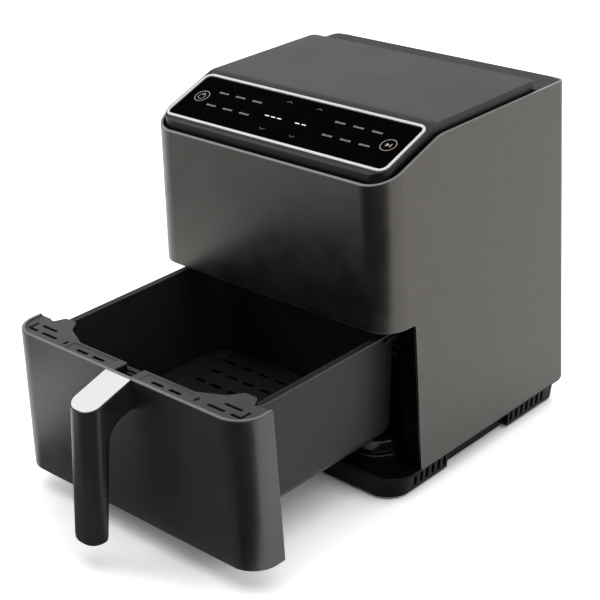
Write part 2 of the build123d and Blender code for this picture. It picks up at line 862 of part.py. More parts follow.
def make_bearing(level):
    """A plain bearing ring in the motor's end."""
    ring = Circle(bearing_radius) - Circle(shaft_radius + running_gap)
    return Pos(0, chamber_y, level) * extrude(ring, amount=bearing_height)


def make_motor_rotor():
    """The motor's rotor, pressed on the shaft."""
    length = motor_height - 2 * (bearing_height + motor_wall) - 2 * motor_wall
    ring = Circle(rotor_radius) - Circle(shaft_radius + press_gap)
    return Pos(0, chamber_y, motor_level + motor_height / 2 - length / 2) * extrude(ring, amount=length)


def make_motor_bracket():
    """A plate on four legs that carries the motor above the dome."""
    plate = RectangleRounded(2 * bracket_half, 2 * bracket_half, bracket_corner) - Circle(bracket_window)
    legs = spread(GridLocations(2 * leg_spread, 2 * leg_spread, 2, 2), Circle(leg_radius))
    body = extrude(Pos(0, 0, leg_height) * plate, amount=bracket_plate) + extrude(legs, amount=leg_height)
    return Pos(0, chamber_y, dome_top) * body


def make_thermal_fuse():
    """The thermal cut-out on top of the dome."""
    body = Pos(fuse_offset, chamber_y, dome_top + fuse_height / 2) * Cylinder(fuse_radius, fuse_height)
    return fillet(body.edges().group_by(Axis.Z)[-1], fuse_radius / 4)


def make_temperature_probe():
    """The short sensor that looks down from the chamber's roof."""
    stem = Pos(chamber_half - probe_inset_x, frame_rear + probe_inset_y,
               roof_bottom - probe_length / 2) * Cylinder(probe_radius, probe_length)
    return fillet(stem.edges().group_by(Axis.Z)[0], probe_radius / 2)


def make_power_board():
    """The power board on posts from the back, with transformer, relay and capacitors."""
    middle = dome_top + power_lift + power_height / 2
    face = rear_y - rear_wall - power_gap
    back = Plane(origin=(0, face, middle), x_dir=(-1, 0, 0), z_dir=(0, 1, 0))
    front = Plane(origin=(0, face - board_thickness, middle), x_dir=(1, 0, 0), z_dir=(0, -1, 0))
    board = extrude(back * Rectangle(power_width, power_height), amount=-board_thickness)
    spots = GridLocations(power_width - 2 * post_margin, power_height - 2 * post_margin, 2, 2)
    posts = extrude(back * spread(spots, Circle(post_radius)), amount=power_gap)
    core = extrude(front * Pos(-power_width / 4, 0) * Rectangle(transformer_width, transformer_width),
                   amount=transformer_depth)
    relay = extrude(front * Pos(power_width / 8, power_height / 4) * Rectangle(relay_width, relay_width),
                    amount=relay_depth)
    cans = GridLocations(3 * capacitor_radius, power_height / 2, 2, 2)
    capacitors = extrude(front * Pos(power_width / 3, 0) * spread(cans, Circle(capacitor_radius)),
                         amount=capacitor_depth)
    return board + posts + core + relay + capacitors


def make_drawer_switch():
    """The switch behind the mouth frame that senses a shut drawer."""
    body = Pos(tab_x, frame_rear + switch_depth / 2, plunger_level()) * Box(
        switch_width, switch_depth, switch_height)
    bore = Plane(origin=(tab_x, frame_rear - over, plunger_level()), z_dir=(0, 1, 0)) \
        * Circle(plunger_radius + running_gap)
    well = Plane(origin=(tab_x, frame_rear + switch_wall(), plunger_level()), z_dir=(0, 1, 0)) \
        * Circle(plunger_radius + plunger_collar + running_gap)
    return body - extrude(bore, amount=2 * over) - extrude(well, amount=switch_stroke * 2 + plunger_collar)


def switch_wall():
    """Thickness of the switch's front wall, which keeps the plunger in."""
    return switch_depth / 8


def make_switch_plunger():
    """The sprung pin that the drawer's tab pushes in."""
    axis = Plane(origin=(tab_x, plunger_tip, plunger_level()), z_dir=(0, 1, 0))
    reach = frame_rear + switch_wall() + seat_gap - plunger_tip
    pin = extrude(axis * Circle(plunger_radius), amount=reach + plunger_collar)
    pin = fillet(pin.edges().filter_by(GeomType.CIRCLE).group_by(Axis.Y)[0], plunger_radius / 3)
    collar_at = Plane(origin=(tab_x, plunger_tip + reach, plunger_level()), z_dir=(0, 1, 0))
    return pin + extrude(collar_at * Circle(plunger_radius + plunger_collar), amount=plunger_collar)


def make_drawer_front():
    """The drawer's front: a panel with round corners and short returns, open above and behind."""
    rear = drawer_front_y + return_depth
    outer = leaning_block(front_bottom, front_top, 0, drawer_front_y, rear, front_corner, 0)
    hollow = leaning_block(front_bottom - over, front_top + over, front_wall,
                           drawer_front_y + front_wall, rear + over, front_corner - front_wall, 0)
    sill = leaning_block(front_bottom, front_bottom + front_wall, front_wall / 2,
                         drawer_front_y + front_wall / 2, drawer_front_y + front_lip, 0, 0)
    skin = outer - hollow
    top = skin.faces().sort_by(Axis.Z)[-1]
    skin = fillet(top.edges().filter_by_position(Axis.Y, drawer_front_y - over, rear - over)
                  .filter_by(lambda e: e.length > front_wall + over), lip_round)
    bolts = bolt_plane(drawer_front_y - over) * bolt_pair(bolt_radius + running_gap)
    return skin + (sill & outer) - extrude(bolts, amount=2 * over + front_wall)


def bolt_plane(y):
    """An upright plane across the drawer at the height of the handle's bolts."""
    level = front_top - handle_top_gap - arm_depth / 2
    return Plane(origin=(0, y, level), x_dir=(1, 0, 0), z_dir=(0, 1, 0))


def bolt_pair(radius):
    """The two bolts side by side, as circles."""
    return spread(GridLocations(bolt_spacing, 0, 2, 1), Circle(radius))


def make_handle_bolts():
    """Two bolts from inside the drawer front into the handle's arm."""
    inside = drawer_front_y + front_wall
    shank = extrude(bolt_plane(inside) * bolt_pair(bolt_radius), amount=-front_wall - bolt_depth)
    head = extrude(bolt_plane(inside) * bolt_pair(bolt_head), amount=bolt_head_height)
    return shank + head


def handle_blank():
    """The whole handle: a sloping arm that turns down into a long grip, round all the way to its tip."""
    def at(reach, level):
        return (drawer_front_y - reach, level)
    arm_top = front_top - handle_top_gap
    arm_end = arm_top - arm_drop
    tip = front_bottom - grip_drop
    knuckle = at(arm_length, arm_end)
    back_tip = at(grip_reach - grip_depth, tip)
    palm = at(inner_corner_reach, arm_top - inner_corner_drop)
    outline = [at(0, arm_top), knuckle, at(grip_reach, tip), back_tip, palm, at(0, arm_top - arm_depth)]
    profile = side_prism(outline, handle_width, [(knuckle, knuckle_round), (palm, palm_round)])
    lean = Vector(0, grip_reach - arm_length, arm_end - tip)
    column = extrude(Pos(0, 0, tip) * grip_outline(), amount=2 * lean.length, dir=lean.normalized())
    blank = profile & column
    palm_faces = [f for f in blank.faces() if abs(f.center().X) < seat_gap
                  and tip + seat_gap < f.center().Z < arm_end - seat_gap
                  and back_tip[0] < f.center().Y < drawer_front_y - seat_gap]
    palm_edges = [e for f in palm_faces for e in f.edges()
                  if abs(abs(e.center().X) - handle_width / 2) < seat_gap]
    blank = fillet(palm_edges, edge_round)
    return fillet(blank.edges().group_by(Axis.Z)[0], tip_round)


def grip_outline():
    """The handle seen along its grip: straight sides and a bulging front with round corners."""
    half = handle_width / 2
    front = drawer_front_y - grip_reach + seat_gap
    shoulder = front + front_bulge
    rear = drawer_front_y + arm_length
    sides = Polyline((-half, shoulder), (-half, rear), (half, rear), (half, shoulder))
    face = make_face(sides + ThreePointArc((half, shoulder), (0, front), (-half, shoulder)))
    return fillet(face.vertices().sort_by(Axis.Y)[:2], grip_corner)


def plate_cut():
    """The layer along the arm's top that the bright plate takes up."""
    arm_top = front_top - handle_top_gap
    fall = arm_drop / arm_length
    start = arm_top - plate_thickness + over * fall
    end = arm_top - plate_thickness - plate_length * fall
    return side_prism([(drawer_front_y + over, start), (drawer_front_y - plate_length, end),
                       (drawer_front_y - plate_length, end + arm_depth),
                       (drawer_front_y + over, start + arm_depth)], handle_width)


def make_handle_grip():
    """The black arm and grip, under the bright plate."""
    bores = bolt_plane(drawer_front_y) * bolt_pair(bolt_radius + running_gap)
    return handle_blank() - plate_cut() - extrude(bores, amount=-bolt_depth - seat_gap)


def make_handle_plate():
    """The bright plate let into the top of the arm."""
    return handle_blank() & plate_cut()


def basket_section(z, inset):
    """The basket's tapering outline at a height, set in by a wall."""
    shrink = basket_taper * (rim_top - z) / basket_depth + inset
    return Pos(0, 0, z) * rounded_plan(basket_half - shrink, basket_front + shrink, basket_rear - shrink,
                                       basket_corner - inset, basket_corner - inset)


def make_basket():
    """The pan: a drawn, tapering body with a round-edged floor and a flat rim."""
    outer = loft([basket_section(basket_bottom, 0), basket_section(rim_top, 0)], ruled=True)
    outer = fillet(outer.edges().group_by(Axis.Z)[0], basket_floor_round)
    floor = basket_bottom + basket_wall
    inner = loft([basket_section(floor, basket_wall), basket_section(rim_top + over, basket_wall)],
                 ruled=True)
    inner = fillet(inner.edges().group_by(Axis.Z)[0], basket_floor_round - basket_wall)
    brim = plan_block(rim_top - rim_thickness, rim_top, basket_half + rim_flange,
                      basket_front - rim_flange / 2, basket_rear + rim_flange,
                      basket_corner + rim_flange, basket_corner + rim_flange)
    return outer + brim - inner


def bracket_half_outline():
    """Right half of the bracket's plan: a strip that widens into a lobe round the basket's corner."""
    side = shell_half(bracket_top) - front_wall - seat_gap
    rear = drawer_front_y + return_depth
    front = drawer_front_y + front_wall
    lobe = drawer_front_y + lobe_reach
    strip = drawer_front_y + strip_depth
    neck = (lobe + strip) / 2
    inner = side - lobe_outer - lobe_width
    points = [(middle_notch, front), (side, front), (side, rear),
              (side - lobe_outer + 2 * notch_width, rear),
              (side - lobe_outer + notch_width, rear - notch_depth),
              (side - lobe_outer, lobe), (inner, lobe),
              (inner - lobe_run / 4, neck), (inner - lobe_run, strip), (middle_notch, strip)]
    face = make_face(Polyline(*points, close=True))
    rounds = [(points[1], front_corner - front_wall), (points[4], notch_depth),
              (points[5], notch_depth), (points[6], notch_depth), (points[7], lobe_run / 4),
              (points[8], lobe_run / 4)]
    for corner, radius in rounds:
        face = fillet(face.vertices().sort_by_distance((*corner, 0))[0], radius)
    return face


def bracket_slots():
    """Blind slots in the bracket's right half: two in the lobe, a bent one, two in the strip, a keyhole."""
    side = shell_half(bracket_top) - front_wall
    lobe_slot = SlotOverall(slot_length, slot_width)
    corner = side - corner_slot_inset
    cuts = Pos(side - far_slot_inset, far_row) * lobe_slot
    cuts += Pos(side - near_slot_inset, near_row) * lobe_slot
    cuts += Pos(corner, (near_row + far_row) / 2) * SlotOverall(far_row - near_row + slot_width, slot_width,
                                                                rotation=90)
    cuts += Pos(corner - (corner_slot_length - slot_width) / 2, near_row) * SlotOverall(corner_slot_length,
                                                                                     slot_width)
    pair = GridLocations(strip_slot_pitch, 0, 2, 1)
    cuts += Pos(strip_middle(), strip_row) * spread(pair, SlotOverall(strip_slot_length, slot_width))
    cuts += Pos(side - key_inset, near_row) * (SlotOverall(key_length, key_width, rotation=90)
                                               + Circle(key_radius))
    return Pos(0, drawer_front_y) * cuts


def strip_middle():
    """Middle of the sunk panel in the right half of the bracket's strip."""
    return panel_start + panel_run / 2


def sunk_panel():
    """The shallow panel round the strip's two slots."""
    depth = strip_depth - front_wall - 2 * panel_edge
    middle = drawer_front_y + front_wall + panel_edge + depth / 2
    return Pos(strip_middle(), middle) * RectangleRounded(panel_run, depth, panel_edge)


def make_drawer_bracket():
    """The slotted carrier that joins the basket to the drawer front, with a web and ribs below."""
    half = extrude(Pos(0, 0, rim_top) * bracket_half_outline(), amount=bracket_thickness)
    half -= extrude(Pos(0, 0, bracket_top) * sunk_panel(), amount=-panel_depth)
    half -= extrude(Pos(0, 0, bracket_top) * bracket_slots(), amount=-pocket_depth)
    web_y = basket_front - rim_flange / 2 - web_thickness
    web = Pos(0, web_y - web_thickness / 2, rim_top - web_depth / 2) * Box(
        2 * web_half, web_thickness, web_depth)
    span = web_y - web_thickness - drawer_front_y - front_wall
    rib = Box(rib_thickness, span, rib_height)
    rib_spots = GridLocations(rib_spacing, 0, 4, 1)
    rib_at = Pos(0, drawer_front_y + front_wall + span / 2, rim_top - rib_height / 2)
    ribs = rib_at * repeated(rib_spots, rib)
    tab = Pos(tab_x, drawer_front_y + tab_rear - tab_depth / 2, rim_top - tab_height / 2) * Box(
        tab_width, tab_depth, tab_height)
    return web + ribs + mirrored(half) + tab


def crisper_half():
    """Half the crisper plate's width, clear of the basket's taper at the plate's height."""
    return basket_half - basket_taper - basket_wall - crisper_gap


def make_crisper_plate():
    """The perforated plate that holds food off the basket's floor."""
    inset = basket_taper + basket_wall + crisper_gap
    half_y = basket_length / 2 - inset
    sheet = rounded_plan(crisper_half(), crisper_y - half_y, crisper_y + half_y,
                         crisper_corner, crisper_corner)
    pitch_x = 2 * (crisper_half() - crisper_edge_x) / (crisper_columns - 1)
    pitch_y = 2 * (half_y - crisper_edge_y) / (crisper_rows - 1)
    holes = slots(crisper_columns, crisper_rows, pitch_x, pitch_y, crisper_slot_length, crisper_slot_width)
    land = Rectangle(arch_width + 2 * arch_bar, pitch_y + 2 * crisper_slot_width)
    plate = sheet - Pos(0, crisper_y) * holes - bumper_discs(bumper_hole + press_gap)
    plate += Pos(0, crisper_y) * land
    return extrude(Pos(0, 0, crisper_level()) * plate, amount=crisper_thickness)


def make_lift_arch():
    """The low arch in the middle of the crisper plate, to lift it by."""
    outer = RectangleRounded(arch_width, 2 * arch_height, 2 * arch_bar)
    inner = RectangleRounded(arch_width - 2 * arch_bar, 2 * (arch_height - arch_bar), arch_bar)
    upper = Pos(0, arch_height / 2) * Rectangle(arch_width, arch_height)
    upright = Plane(origin=(0, crisper_y, crisper_level() + crisper_thickness),
                    x_dir=(1, 0, 0), z_dir=(0, -1, 0))
    return extrude(upright * ((outer - inner) & upper), amount=arch_depth / 2, both=True)


def crisper_level():
    """Height of the crisper plate's underside."""
    return basket_bottom + basket_wall + slide_gap + crisper_lift


def bumper_discs(radius):
    """Circles at the four bumpers near the crisper plate's corners."""
    inset = basket_taper + basket_wall + crisper_gap + bumper_inset
    corners = GridLocations(2 * (crisper_half() - bumper_inset), basket_length - 2 * inset, 2, 2)
    return Pos(0, crisper_y) * spread(corners, Circle(radius))


def make_plate_bumpers():
    """Four soft feet pushed through the crisper plate's corners."""
    level = crisper_level()
    foot = extrude(Pos(0, 0, level - crisper_lift) * bumper_discs(bumper_radius), amount=crisper_lift)
    neck = extrude(Pos(0, 0, level) * bumper_discs(bumper_hole), amount=crisper_thickness)
    cap = extrude(Pos(0, 0, level + crisper_thickness) * bumper_discs(bumper_radius),
                  amount=bumper_collar)
    return foot + neck + cap


pieces = {
    "outer_shell": make_outer_shell(),
    "top_cover": make_top_cover(),
    "trim_frame": make_trim_frame(),
    "touch_glass": make_touch_glass(),
    "control_board": make_control_board(),
    "rear_cover": make_rear_cover(),
    "wall_stops": make_wall_stops(),
    "cord_gland": make_cord_gland(),
    "base_tray": make_base_tray(),
    "bottom_plate": make_bottom_plate(),
    "rubber_feet": make_rubber_feet(),
    "mouth_frame": make_mouth_frame(),
    "chamber_liner": make_chamber_liner(),
    "exhaust_duct": make_exhaust_duct(),
    "right_rail": make_rail(),
    "left_rail": mirror(make_rail(), about=Plane.YZ),
    "chamber_floor": make_chamber_floor(),
    "lower_heater": make_lower_heater(),
    "dish_clips": make_dish_clips(),
    "upper_heater": make_upper_heater(),
    "heater_clips": make_heater_clips(),
    "heater_dome": make_heater_dome(),
    "heater_guard": make_heater_guard(),
    "hot_fan": radial_fan(fan_radius, fan_blades, fan_blade_height, fan_root, fan_blade_sweep, fan_level),
    "cooling_fan": radial_fan(cooler_radius, cooler_blades, cooler_blade_height, fan_root,
                              fan_blade_sweep, cooler_level),
    "motor_shaft": make_motor_shaft(),
    "fan_nut": make_fan_nut(),
    "motor_can": make_motor_can(),
    "motor_rotor": make_motor_rotor(),
    "lower_bearing": make_bearing(motor_level),
    "upper_bearing": make_bearing(motor_top - bearing_height),
    "motor_bracket": make_motor_bracket(),
    "thermal_fuse": make_thermal_fuse(),
    "temperature_probe": make_temperature_probe(),
    "power_board": make_power_board(),
    "drawer_switch": make_drawer_switch(),
    "switch_plunger": make_switch_plunger(),
    "drawer_front": make_drawer_front(),
    "drawer_bracket": make_drawer_bracket(),
    "basket": make_basket(),
    "handle_grip": make_handle_grip(),
    "handle_plate": make_handle_plate(),
    "handle_bolts": make_handle_bolts(),
    "crisper_plate": make_crisper_plate(),
    "lift_arch": make_lift_arch(),
    "plate_bumpers": make_plate_bumpers(),
}

os.makedirs("parts", exist_ok=True)
for name, piece in pieces.items():
    export_step(piece, f"parts/{name}.step")
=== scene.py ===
import math

import bpy
from mathutils import Matrix, Vector


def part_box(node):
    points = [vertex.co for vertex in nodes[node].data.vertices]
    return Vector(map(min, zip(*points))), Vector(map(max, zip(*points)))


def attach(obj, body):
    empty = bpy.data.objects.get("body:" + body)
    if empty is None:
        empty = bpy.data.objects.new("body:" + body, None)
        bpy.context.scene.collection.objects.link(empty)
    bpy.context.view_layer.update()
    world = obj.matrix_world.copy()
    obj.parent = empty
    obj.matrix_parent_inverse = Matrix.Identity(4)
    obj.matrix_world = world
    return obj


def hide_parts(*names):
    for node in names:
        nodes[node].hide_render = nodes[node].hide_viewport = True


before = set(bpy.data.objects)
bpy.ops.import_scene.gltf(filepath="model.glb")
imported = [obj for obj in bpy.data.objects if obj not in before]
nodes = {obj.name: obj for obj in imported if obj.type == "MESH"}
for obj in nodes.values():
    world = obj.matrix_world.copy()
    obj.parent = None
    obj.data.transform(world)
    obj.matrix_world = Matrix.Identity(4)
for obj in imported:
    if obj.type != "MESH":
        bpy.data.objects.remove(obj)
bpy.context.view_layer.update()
scene = bpy.context.scene
scene.view_settings.view_transform = "Standard"
bpy.ops.object.select_all(action="DESELECT")

# Camera. It stands to the right of the open drawer, looks down on it and leans slightly.
# A long lens keeps the upright edges of the housing nearly parallel.
camera_lens = 93.73
camera_place = Vector((0.9072, -1.0461, 0.7761))
camera_azimuth = math.radians(43.46)
camera_elevation = math.radians(25.43)
camera_lean = math.radians(-2.65)

camera = bpy.data.objects.new("camera", bpy.data.cameras.new("camera"))
camera.data.lens = camera_lens
camera.matrix_world = (Matrix.Translation(camera_place)
                       @ Matrix.Rotation(camera_azimuth, 4, "Z")
                       @ Matrix.Rotation(math.pi / 2 - camera_elevation, 4, "X")
                       @ Matrix.Rotation(camera_lean, 4, "Z"))
scene.collection.objects.link(camera)
scene.camera = camera


# Studio. A white floor runs to a white horizon under a dark ceiling, as in a product studio, with a
# broad lamp overhead, one on the right and a soft box on the left. Black flags, in front on the floor
# and at the left, show only in reflections and darken the faces that look that way.
class Wire:
    """A socket in a node tree: arithmetic on it adds Math nodes, and node() adds any other kind."""

    def __init__(self, tree, socket=None):
        self.tree = tree
        self.socket = socket

    def node(self, kind, settings, sockets, output=0):
        made = self.tree.nodes.new("ShaderNode" + kind)
        for name, value in settings.items():
            setattr(made, name, value)
        for name, value in sockets.items():
            if isinstance(value, Wire):
                self.tree.links.new(value.socket, made.inputs[name])
            else:
                made.inputs[name].default_value = value
        return Wire(self.tree, made.outputs[output])

    def maths(self, operation, first, second):
        return self.node("Math", {"operation": operation}, {0: first, 1: second})

    def __add__(self, other):
        return self.maths("ADD", self, other)

    def __sub__(self, other):
        return self.maths("SUBTRACT", self, other)

    def __rsub__(self, other):
        return self.maths("SUBTRACT", other, self)

    def __mul__(self, other):
        return self.maths("MULTIPLY", self, other)

    __radd__ = __add__
    __rmul__ = __mul__

    def ramp(self, start, end, low=0.0, high=1.0):
        """This value from start to end, spread evenly from low to high."""
        return self.node("MapRange", {}, {"Value": self, "From Min": start, "From Max": end,
                                          "To Min": low, "To Max": high})

    def colours(self, first, second):
        """A colour between two, as this value goes from 0 to 1."""
        return self.node("Mix", {"data_type": "RGBA"}, {0: self, 6: first, 7: second}, 2)


def seen_directly(net):
    """1 for what the camera sees straight, in a reflection or through glass."""
    def ray(kind):
        return net.node("LightPath", {}, {}, kind)
    shown = net.maths("MAXIMUM", ray("Is Camera Ray"), ray("Is Glossy Ray"))
    return net.maths("MAXIMUM", shown, ray("Is Transmission Ray"))


wall_height = 0.30
ceiling_height = 0.62
ceiling_level = 0.02
sky_fill = 0.35

world = bpy.data.worlds.new("studio")
scene.world = world
world.use_nodes = True
sky = Wire(world.node_tree)
direction = sky.node("TexCoord", {}, {}, "Generated")
height = sky.node("SeparateXYZ", {}, {"Vector": direction}, "Z")
brightness = height.ramp(wall_height, ceiling_height, 1.0, ceiling_level)
brightness = brightness * (seen_directly(sky) * (1 - sky_fill) + sky_fill)
backdrop = world.node_tree.nodes["Background"]
backdrop.inputs["Color"].default_value = (1.0, 1.0, 1.0, 1.0)
world.node_tree.links.new(brightness.socket, backdrop.inputs["Strength"])

floor_size = 24.0
floor_shown = 1.42
floor_bounce = 0.30

bpy.ops.mesh.primitive_plane_add(size=floor_size)
floor = bpy.context.object
floor.name = "floor"
paper = bpy.data.materials.new("floor_paper")
paper.use_nodes = True
net = Wire(paper.node_tree)
tone = seen_directly(net) * (floor_shown - floor_bounce) + floor_bounce
matt = net.node("BsdfDiffuse", {}, {"Color": tone})
paper.node_tree.links.new(matt.socket, paper.node_tree.nodes["Material Output"].inputs["Surface"])
floor.data.materials.append(paper)

lamp_target = Vector((0.0, -0.08, 0.15))


def lamp(name, kind, place, strength, spread, in_reflections):
    """A soft lamp aimed at the middle of the housing."""
    data = bpy.data.lights.new(name, kind)
    data.energy = strength
    if kind == "SUN":
        data.angle = math.radians(spread)
    else:
        data.size = spread
    made = bpy.data.objects.new(name, data)
    made.location = place
    made.rotation_euler = (lamp_target - Vector(place)).to_track_quat("-Z", "Y").to_euler()
    made.visible_glossy = in_reflections
    scene.collection.objects.link(made)


lamp("overhead", "SUN", (0.05, 0.32, 2.0), strength=2.9, spread=85.0, in_reflections=False)
lamp("right_side", "SUN", (2.0, -0.15, 0.95), strength=1.1, spread=70.0, in_reflections=False)
lamp("left_box", "AREA", (-1.30, -1.10, 1.30), strength=9.0, spread=1.0, in_reflections=True)

flag_lift = 0.004
flags_right = 3.0
flags_bend = -0.55
flags_end = -2.60
near_left = (-0.19, -0.325)
near_middle = (0.12, -0.33)
near_right = (flags_right, -0.36)
bend_left = (-0.251, flags_bend)
bend_middle = (0.12, flags_bend)
bend_right = (flags_right, flags_bend)
end_left = (-0.80, flags_end)
end_right = (flags_right, flags_end)
wing_start = (-0.235, -0.49)
wing_bend = (-0.45, flags_bend)
wing_end = (-1.30, flags_end)
side_flag_y = -0.37
side_flag_corners = ((-0.55, 0.01), (-0.17, 0.09), (-0.17, 0.26), (-0.55, 0.26))


def black_flag(name, corners, density):
    """A dark cloth that shows only in reflections, given by its corners, more or less thick."""
    bpy.ops.mesh.primitive_plane_add(size=1.0)
    cloth = bpy.context.object
    cloth.name = name
    for corner, face_corner in zip(corners, cloth.data.polygons[0].vertices):
        cloth.data.vertices[face_corner].co = corner
    cloth.visible_camera = False
    cloth.visible_diffuse = False
    cloth.visible_transmission = False
    cloth.visible_shadow = False
    velvet = bpy.data.materials.new(name)
    velvet.use_nodes = True
    dark = velvet.node_tree.nodes["Principled BSDF"]
    dark.inputs["Base Color"].default_value = (0.0, 0.0, 0.0, 1.0)
    dark.inputs["Specular IOR Level"].default_value = 0.0
    dark.inputs["Alpha"].default_value = density
    cloth.data.materials.append(velvet)


def on_floor(*points):
    """Points of the floor, lifted just clear of it."""
    return [(x, y, flag_lift) for x, y in points]


black_flag("far_flag", on_floor(bend_left, end_left, end_right, bend_right), density=1.0)
black_flag("right_flag", on_floor(near_middle, bend_middle, bend_right, near_right), density=1.0)
black_flag("near_flag", on_floor(near_left, bend_left, bend_middle, near_middle), density=0.87)
black_flag("left_flag", on_floor(wing_start, wing_bend, wing_end, end_left), density=0.60)
black_flag("side_flag", [(x, side_flag_y, z) for x, z in side_flag_corners], density=0.55)


# Outer shell. One moulding makes the fascia and both sides, sprayed with a dark grey metallic
# coat: fine flakes under a satin lacquer. Its edges and the lips that face up are painted pale and matt, a
# painted highlight.
edge_turn = (0.99, 0.90)
lip_turn = (0.45, 0.75)
lip_metal = 0.2
noise_range = (0.3, 0.7)
flake_range = (0.34, 0.66)
flake_height = 0.000003
coat_clouds = 0.018


def new_material(name, constants):
    """A material with its shader's fixed values set, and a wire to build the rest with."""
    material = bpy.data.materials.new(name)
    material.use_nodes = True
    shader = material.node_tree.nodes["Principled BSDF"]
    for socket, value in constants.items():
        shader.inputs[socket].default_value = value
    return material, shader, Wire(material.node_tree)


def feed(shader, wires):
    """Joins wires to a shader's sockets by name."""
    for socket, wire in wires.items():
        wire.tree.links.new(wire.socket, shader.inputs[socket])


def shade(colour, factor):
    """A colour made lighter or darker, as a shader takes it."""
    return tuple(min(c * factor, 1.0) for c in colour) + (1.0,)


def shades(level, colour, dark, light):
    """A colour that goes from a darker to a lighter shade with a level."""
    return level.colours(shade(colour, dark), shade(colour, light))


def mixed(first, second, share):
    """Two patterns mixed, by the first one's share."""
    return first * share + second * (1 - share)


def varied(pattern, middle, less, more):
    """A value that a pattern takes a little below and above its middle."""
    return pattern.ramp(*noise_range, middle - less, middle + more)


def noise(net, size, stretch=(1.0, 1.0, 1.0), detail=3.0):
    """Noise in metres on the piece itself, drawn out along the axes that have a small stretch."""
    place = net.node("TexCoord", {}, {}, "Object")
    drawn = net.node("Mapping", {}, {"Vector": place, "Scale": stretch})
    return net.node("TexNoise", {}, {"Vector": drawn, "Scale": 1 / size, "Detail": detail})


def soft_edge(net, radius):
    """A surface normal that rounds the piece's edges."""
    return net.node("Bevel", {"samples": 6}, {"Radius": radius})


def on_edge(net, rounded):
    """A mask of the edges that a rounded normal turns."""
    flat = net.node("NewGeometry", {}, {}, "Normal")
    turn = net.node("VectorMath", {"operation": "DOT_PRODUCT"}, {0: rounded, 1: flat}, "Value")
    return turn.ramp(*edge_turn)


def bumped(net, height, depth, normal):
    """A surface normal with a height added to it, in metres."""
    return net.node("Bump", {}, {"Distance": depth, "Height": height, "Normal": normal})


def facing_up(net, start, end):
    """A mask that goes from 0 to 1 as a face turns between two amounts of looking up."""
    own = net.node("TexCoord", {}, {}, "Normal")
    return net.node("SeparateXYZ", {}, {"Vector": own}, "Z").ramp(start, end)


def sprayed(name, colour, metallic, roughness, flake, edge, painted_highlight_colour):
    """A metallic coat: flakes in the colour, a cloudy satin lacquer, and edges and up-facing lips painted
    pale and matt as a painted highlight.
    """
    material, shader, net = new_material(name, {"Specular IOR Level": 0.30})
    flakes = noise(net, flake)
    clouds = noise(net, coat_clouds)
    rounded = soft_edge(net, edge)
    edge_highlight = on_edge(net, rounded)
    painted_highlight = net.maths("MAXIMUM", edge_highlight, facing_up(net, *lip_turn))
    level = mixed(flakes, clouds, share=0.6).ramp(*flake_range)
    painted = shades(level, colour, dark=0.90, light=1.10)
    feed(shader, {"Base Color": painted_highlight.colours(painted, shade(painted_highlight_colour, 1.0)),
                  "Metallic": metallic - painted_highlight * (metallic - lip_metal),
                  "Roughness": varied(clouds, roughness, less=0.03, more=0.04),
                  "Normal": bumped(net, flakes, flake_height, rounded)})
    return material


def dress(material, *names):
    """Gives CAD pieces a finish."""
    for name in names:
        for place in nodes[name].material_slots:
            place.material = material


dress(sprayed("shell_coat", colour=(0.080, 0.0755, 0.0705), metallic=0.95, roughness=0.32, flake=0.0005,
              edge=0.0009, painted_highlight_colour=(0.30, 0.30, 0.29)), "outer_shell")


# Top cover. A separate satin grey moulding, dropped into the shell's open top and held by its
# skirt. Its upright rim is painted black, a painted shade.
rim_turn = (0.50, 0.25)
painted_shade_black = (0.002, 0.002, 0.002)
moulding_clouds = 0.040
grain_range = (0.32, 0.68)


def moulded(name, colour, roughness, grain, depth, edge, edge_gain, constants, painted_shade_where=None):
    """A moulded plastic: fine even grain, faint clouds, edges lightened as a painted highlight and, if
    asked, parts painted black as painted shade.
    """
    material, shader, net = new_material(name, constants)
    fine = noise(net, grain)
    clouds = noise(net, moulding_clouds)
    rounded = soft_edge(net, edge)
    edge_highlight = on_edge(net, rounded)
    level = mixed(fine, clouds, share=0.6).ramp(*grain_range)
    body = edge_highlight.colours(shades(level, colour, dark=0.85, light=1.15), shade(colour, edge_gain))
    # Painted shade: the asked-for parts are painted black.
    if painted_shade_where:
        body = painted_shade_where(net).colours(body, shade(painted_shade_black, 1.0))
    mottled = mixed(fine, clouds, share=0.5)
    feed(shader, {"Base Color": body,
                  "Roughness": varied(mottled, roughness, less=0.05, more=0.06),
                  "Normal": bumped(net, fine, depth, rounded)})
    return material


dress(moulded("cover_satin", colour=(0.038, 0.039, 0.038), roughness=0.42, grain=0.0007, depth=0.000012,
              edge=0.0007, edge_gain=2.4, constants={"Specular IOR Level": 0.30},
              painted_shade_where=lambda net: facing_up(net, *rim_turn)), "top_cover")


# Bright frame round the glass. A thin ring with a satin plated face, finely brushed from side to side,
# pushed into the cover.
stroke_width = 0.0009
stroke_height = 0.000004
dull_spots = 0.018
plated_edge = 1.12


def plated(name, colour, roughness, stretch, edge, constants):
    """A plated or drawn metal: fine strokes along one way, a few dull spots, smooth edges lightened as a
    painted highlight.
    """
    material, shader, net = new_material(name, constants)
    strokes = noise(net, stroke_width, stretch)
    spots = noise(net, dull_spots)
    rounded = soft_edge(net, edge)
    edge_highlight = on_edge(net, rounded)
    face = shades(strokes.ramp(*noise_range), colour, dark=0.88, light=1.06)
    mottled = mixed(strokes, spots, share=0.5)
    feed(shader, {"Base Color": edge_highlight.colours(face, shade(colour, plated_edge)),
                  "Roughness": varied(mottled, roughness, less=0.05, more=0.07),
                  "Normal": bumped(net, strokes, stroke_height, rounded)})
    return material


dress(plated("trim_plate", colour=(0.86, 0.86, 0.87), roughness=0.28, stretch=(0.05, 1.0, 1.0), edge=0.0007,
             constants={"Metallic": 0.20, "Specular IOR Level": 0.6}), "trim_frame")

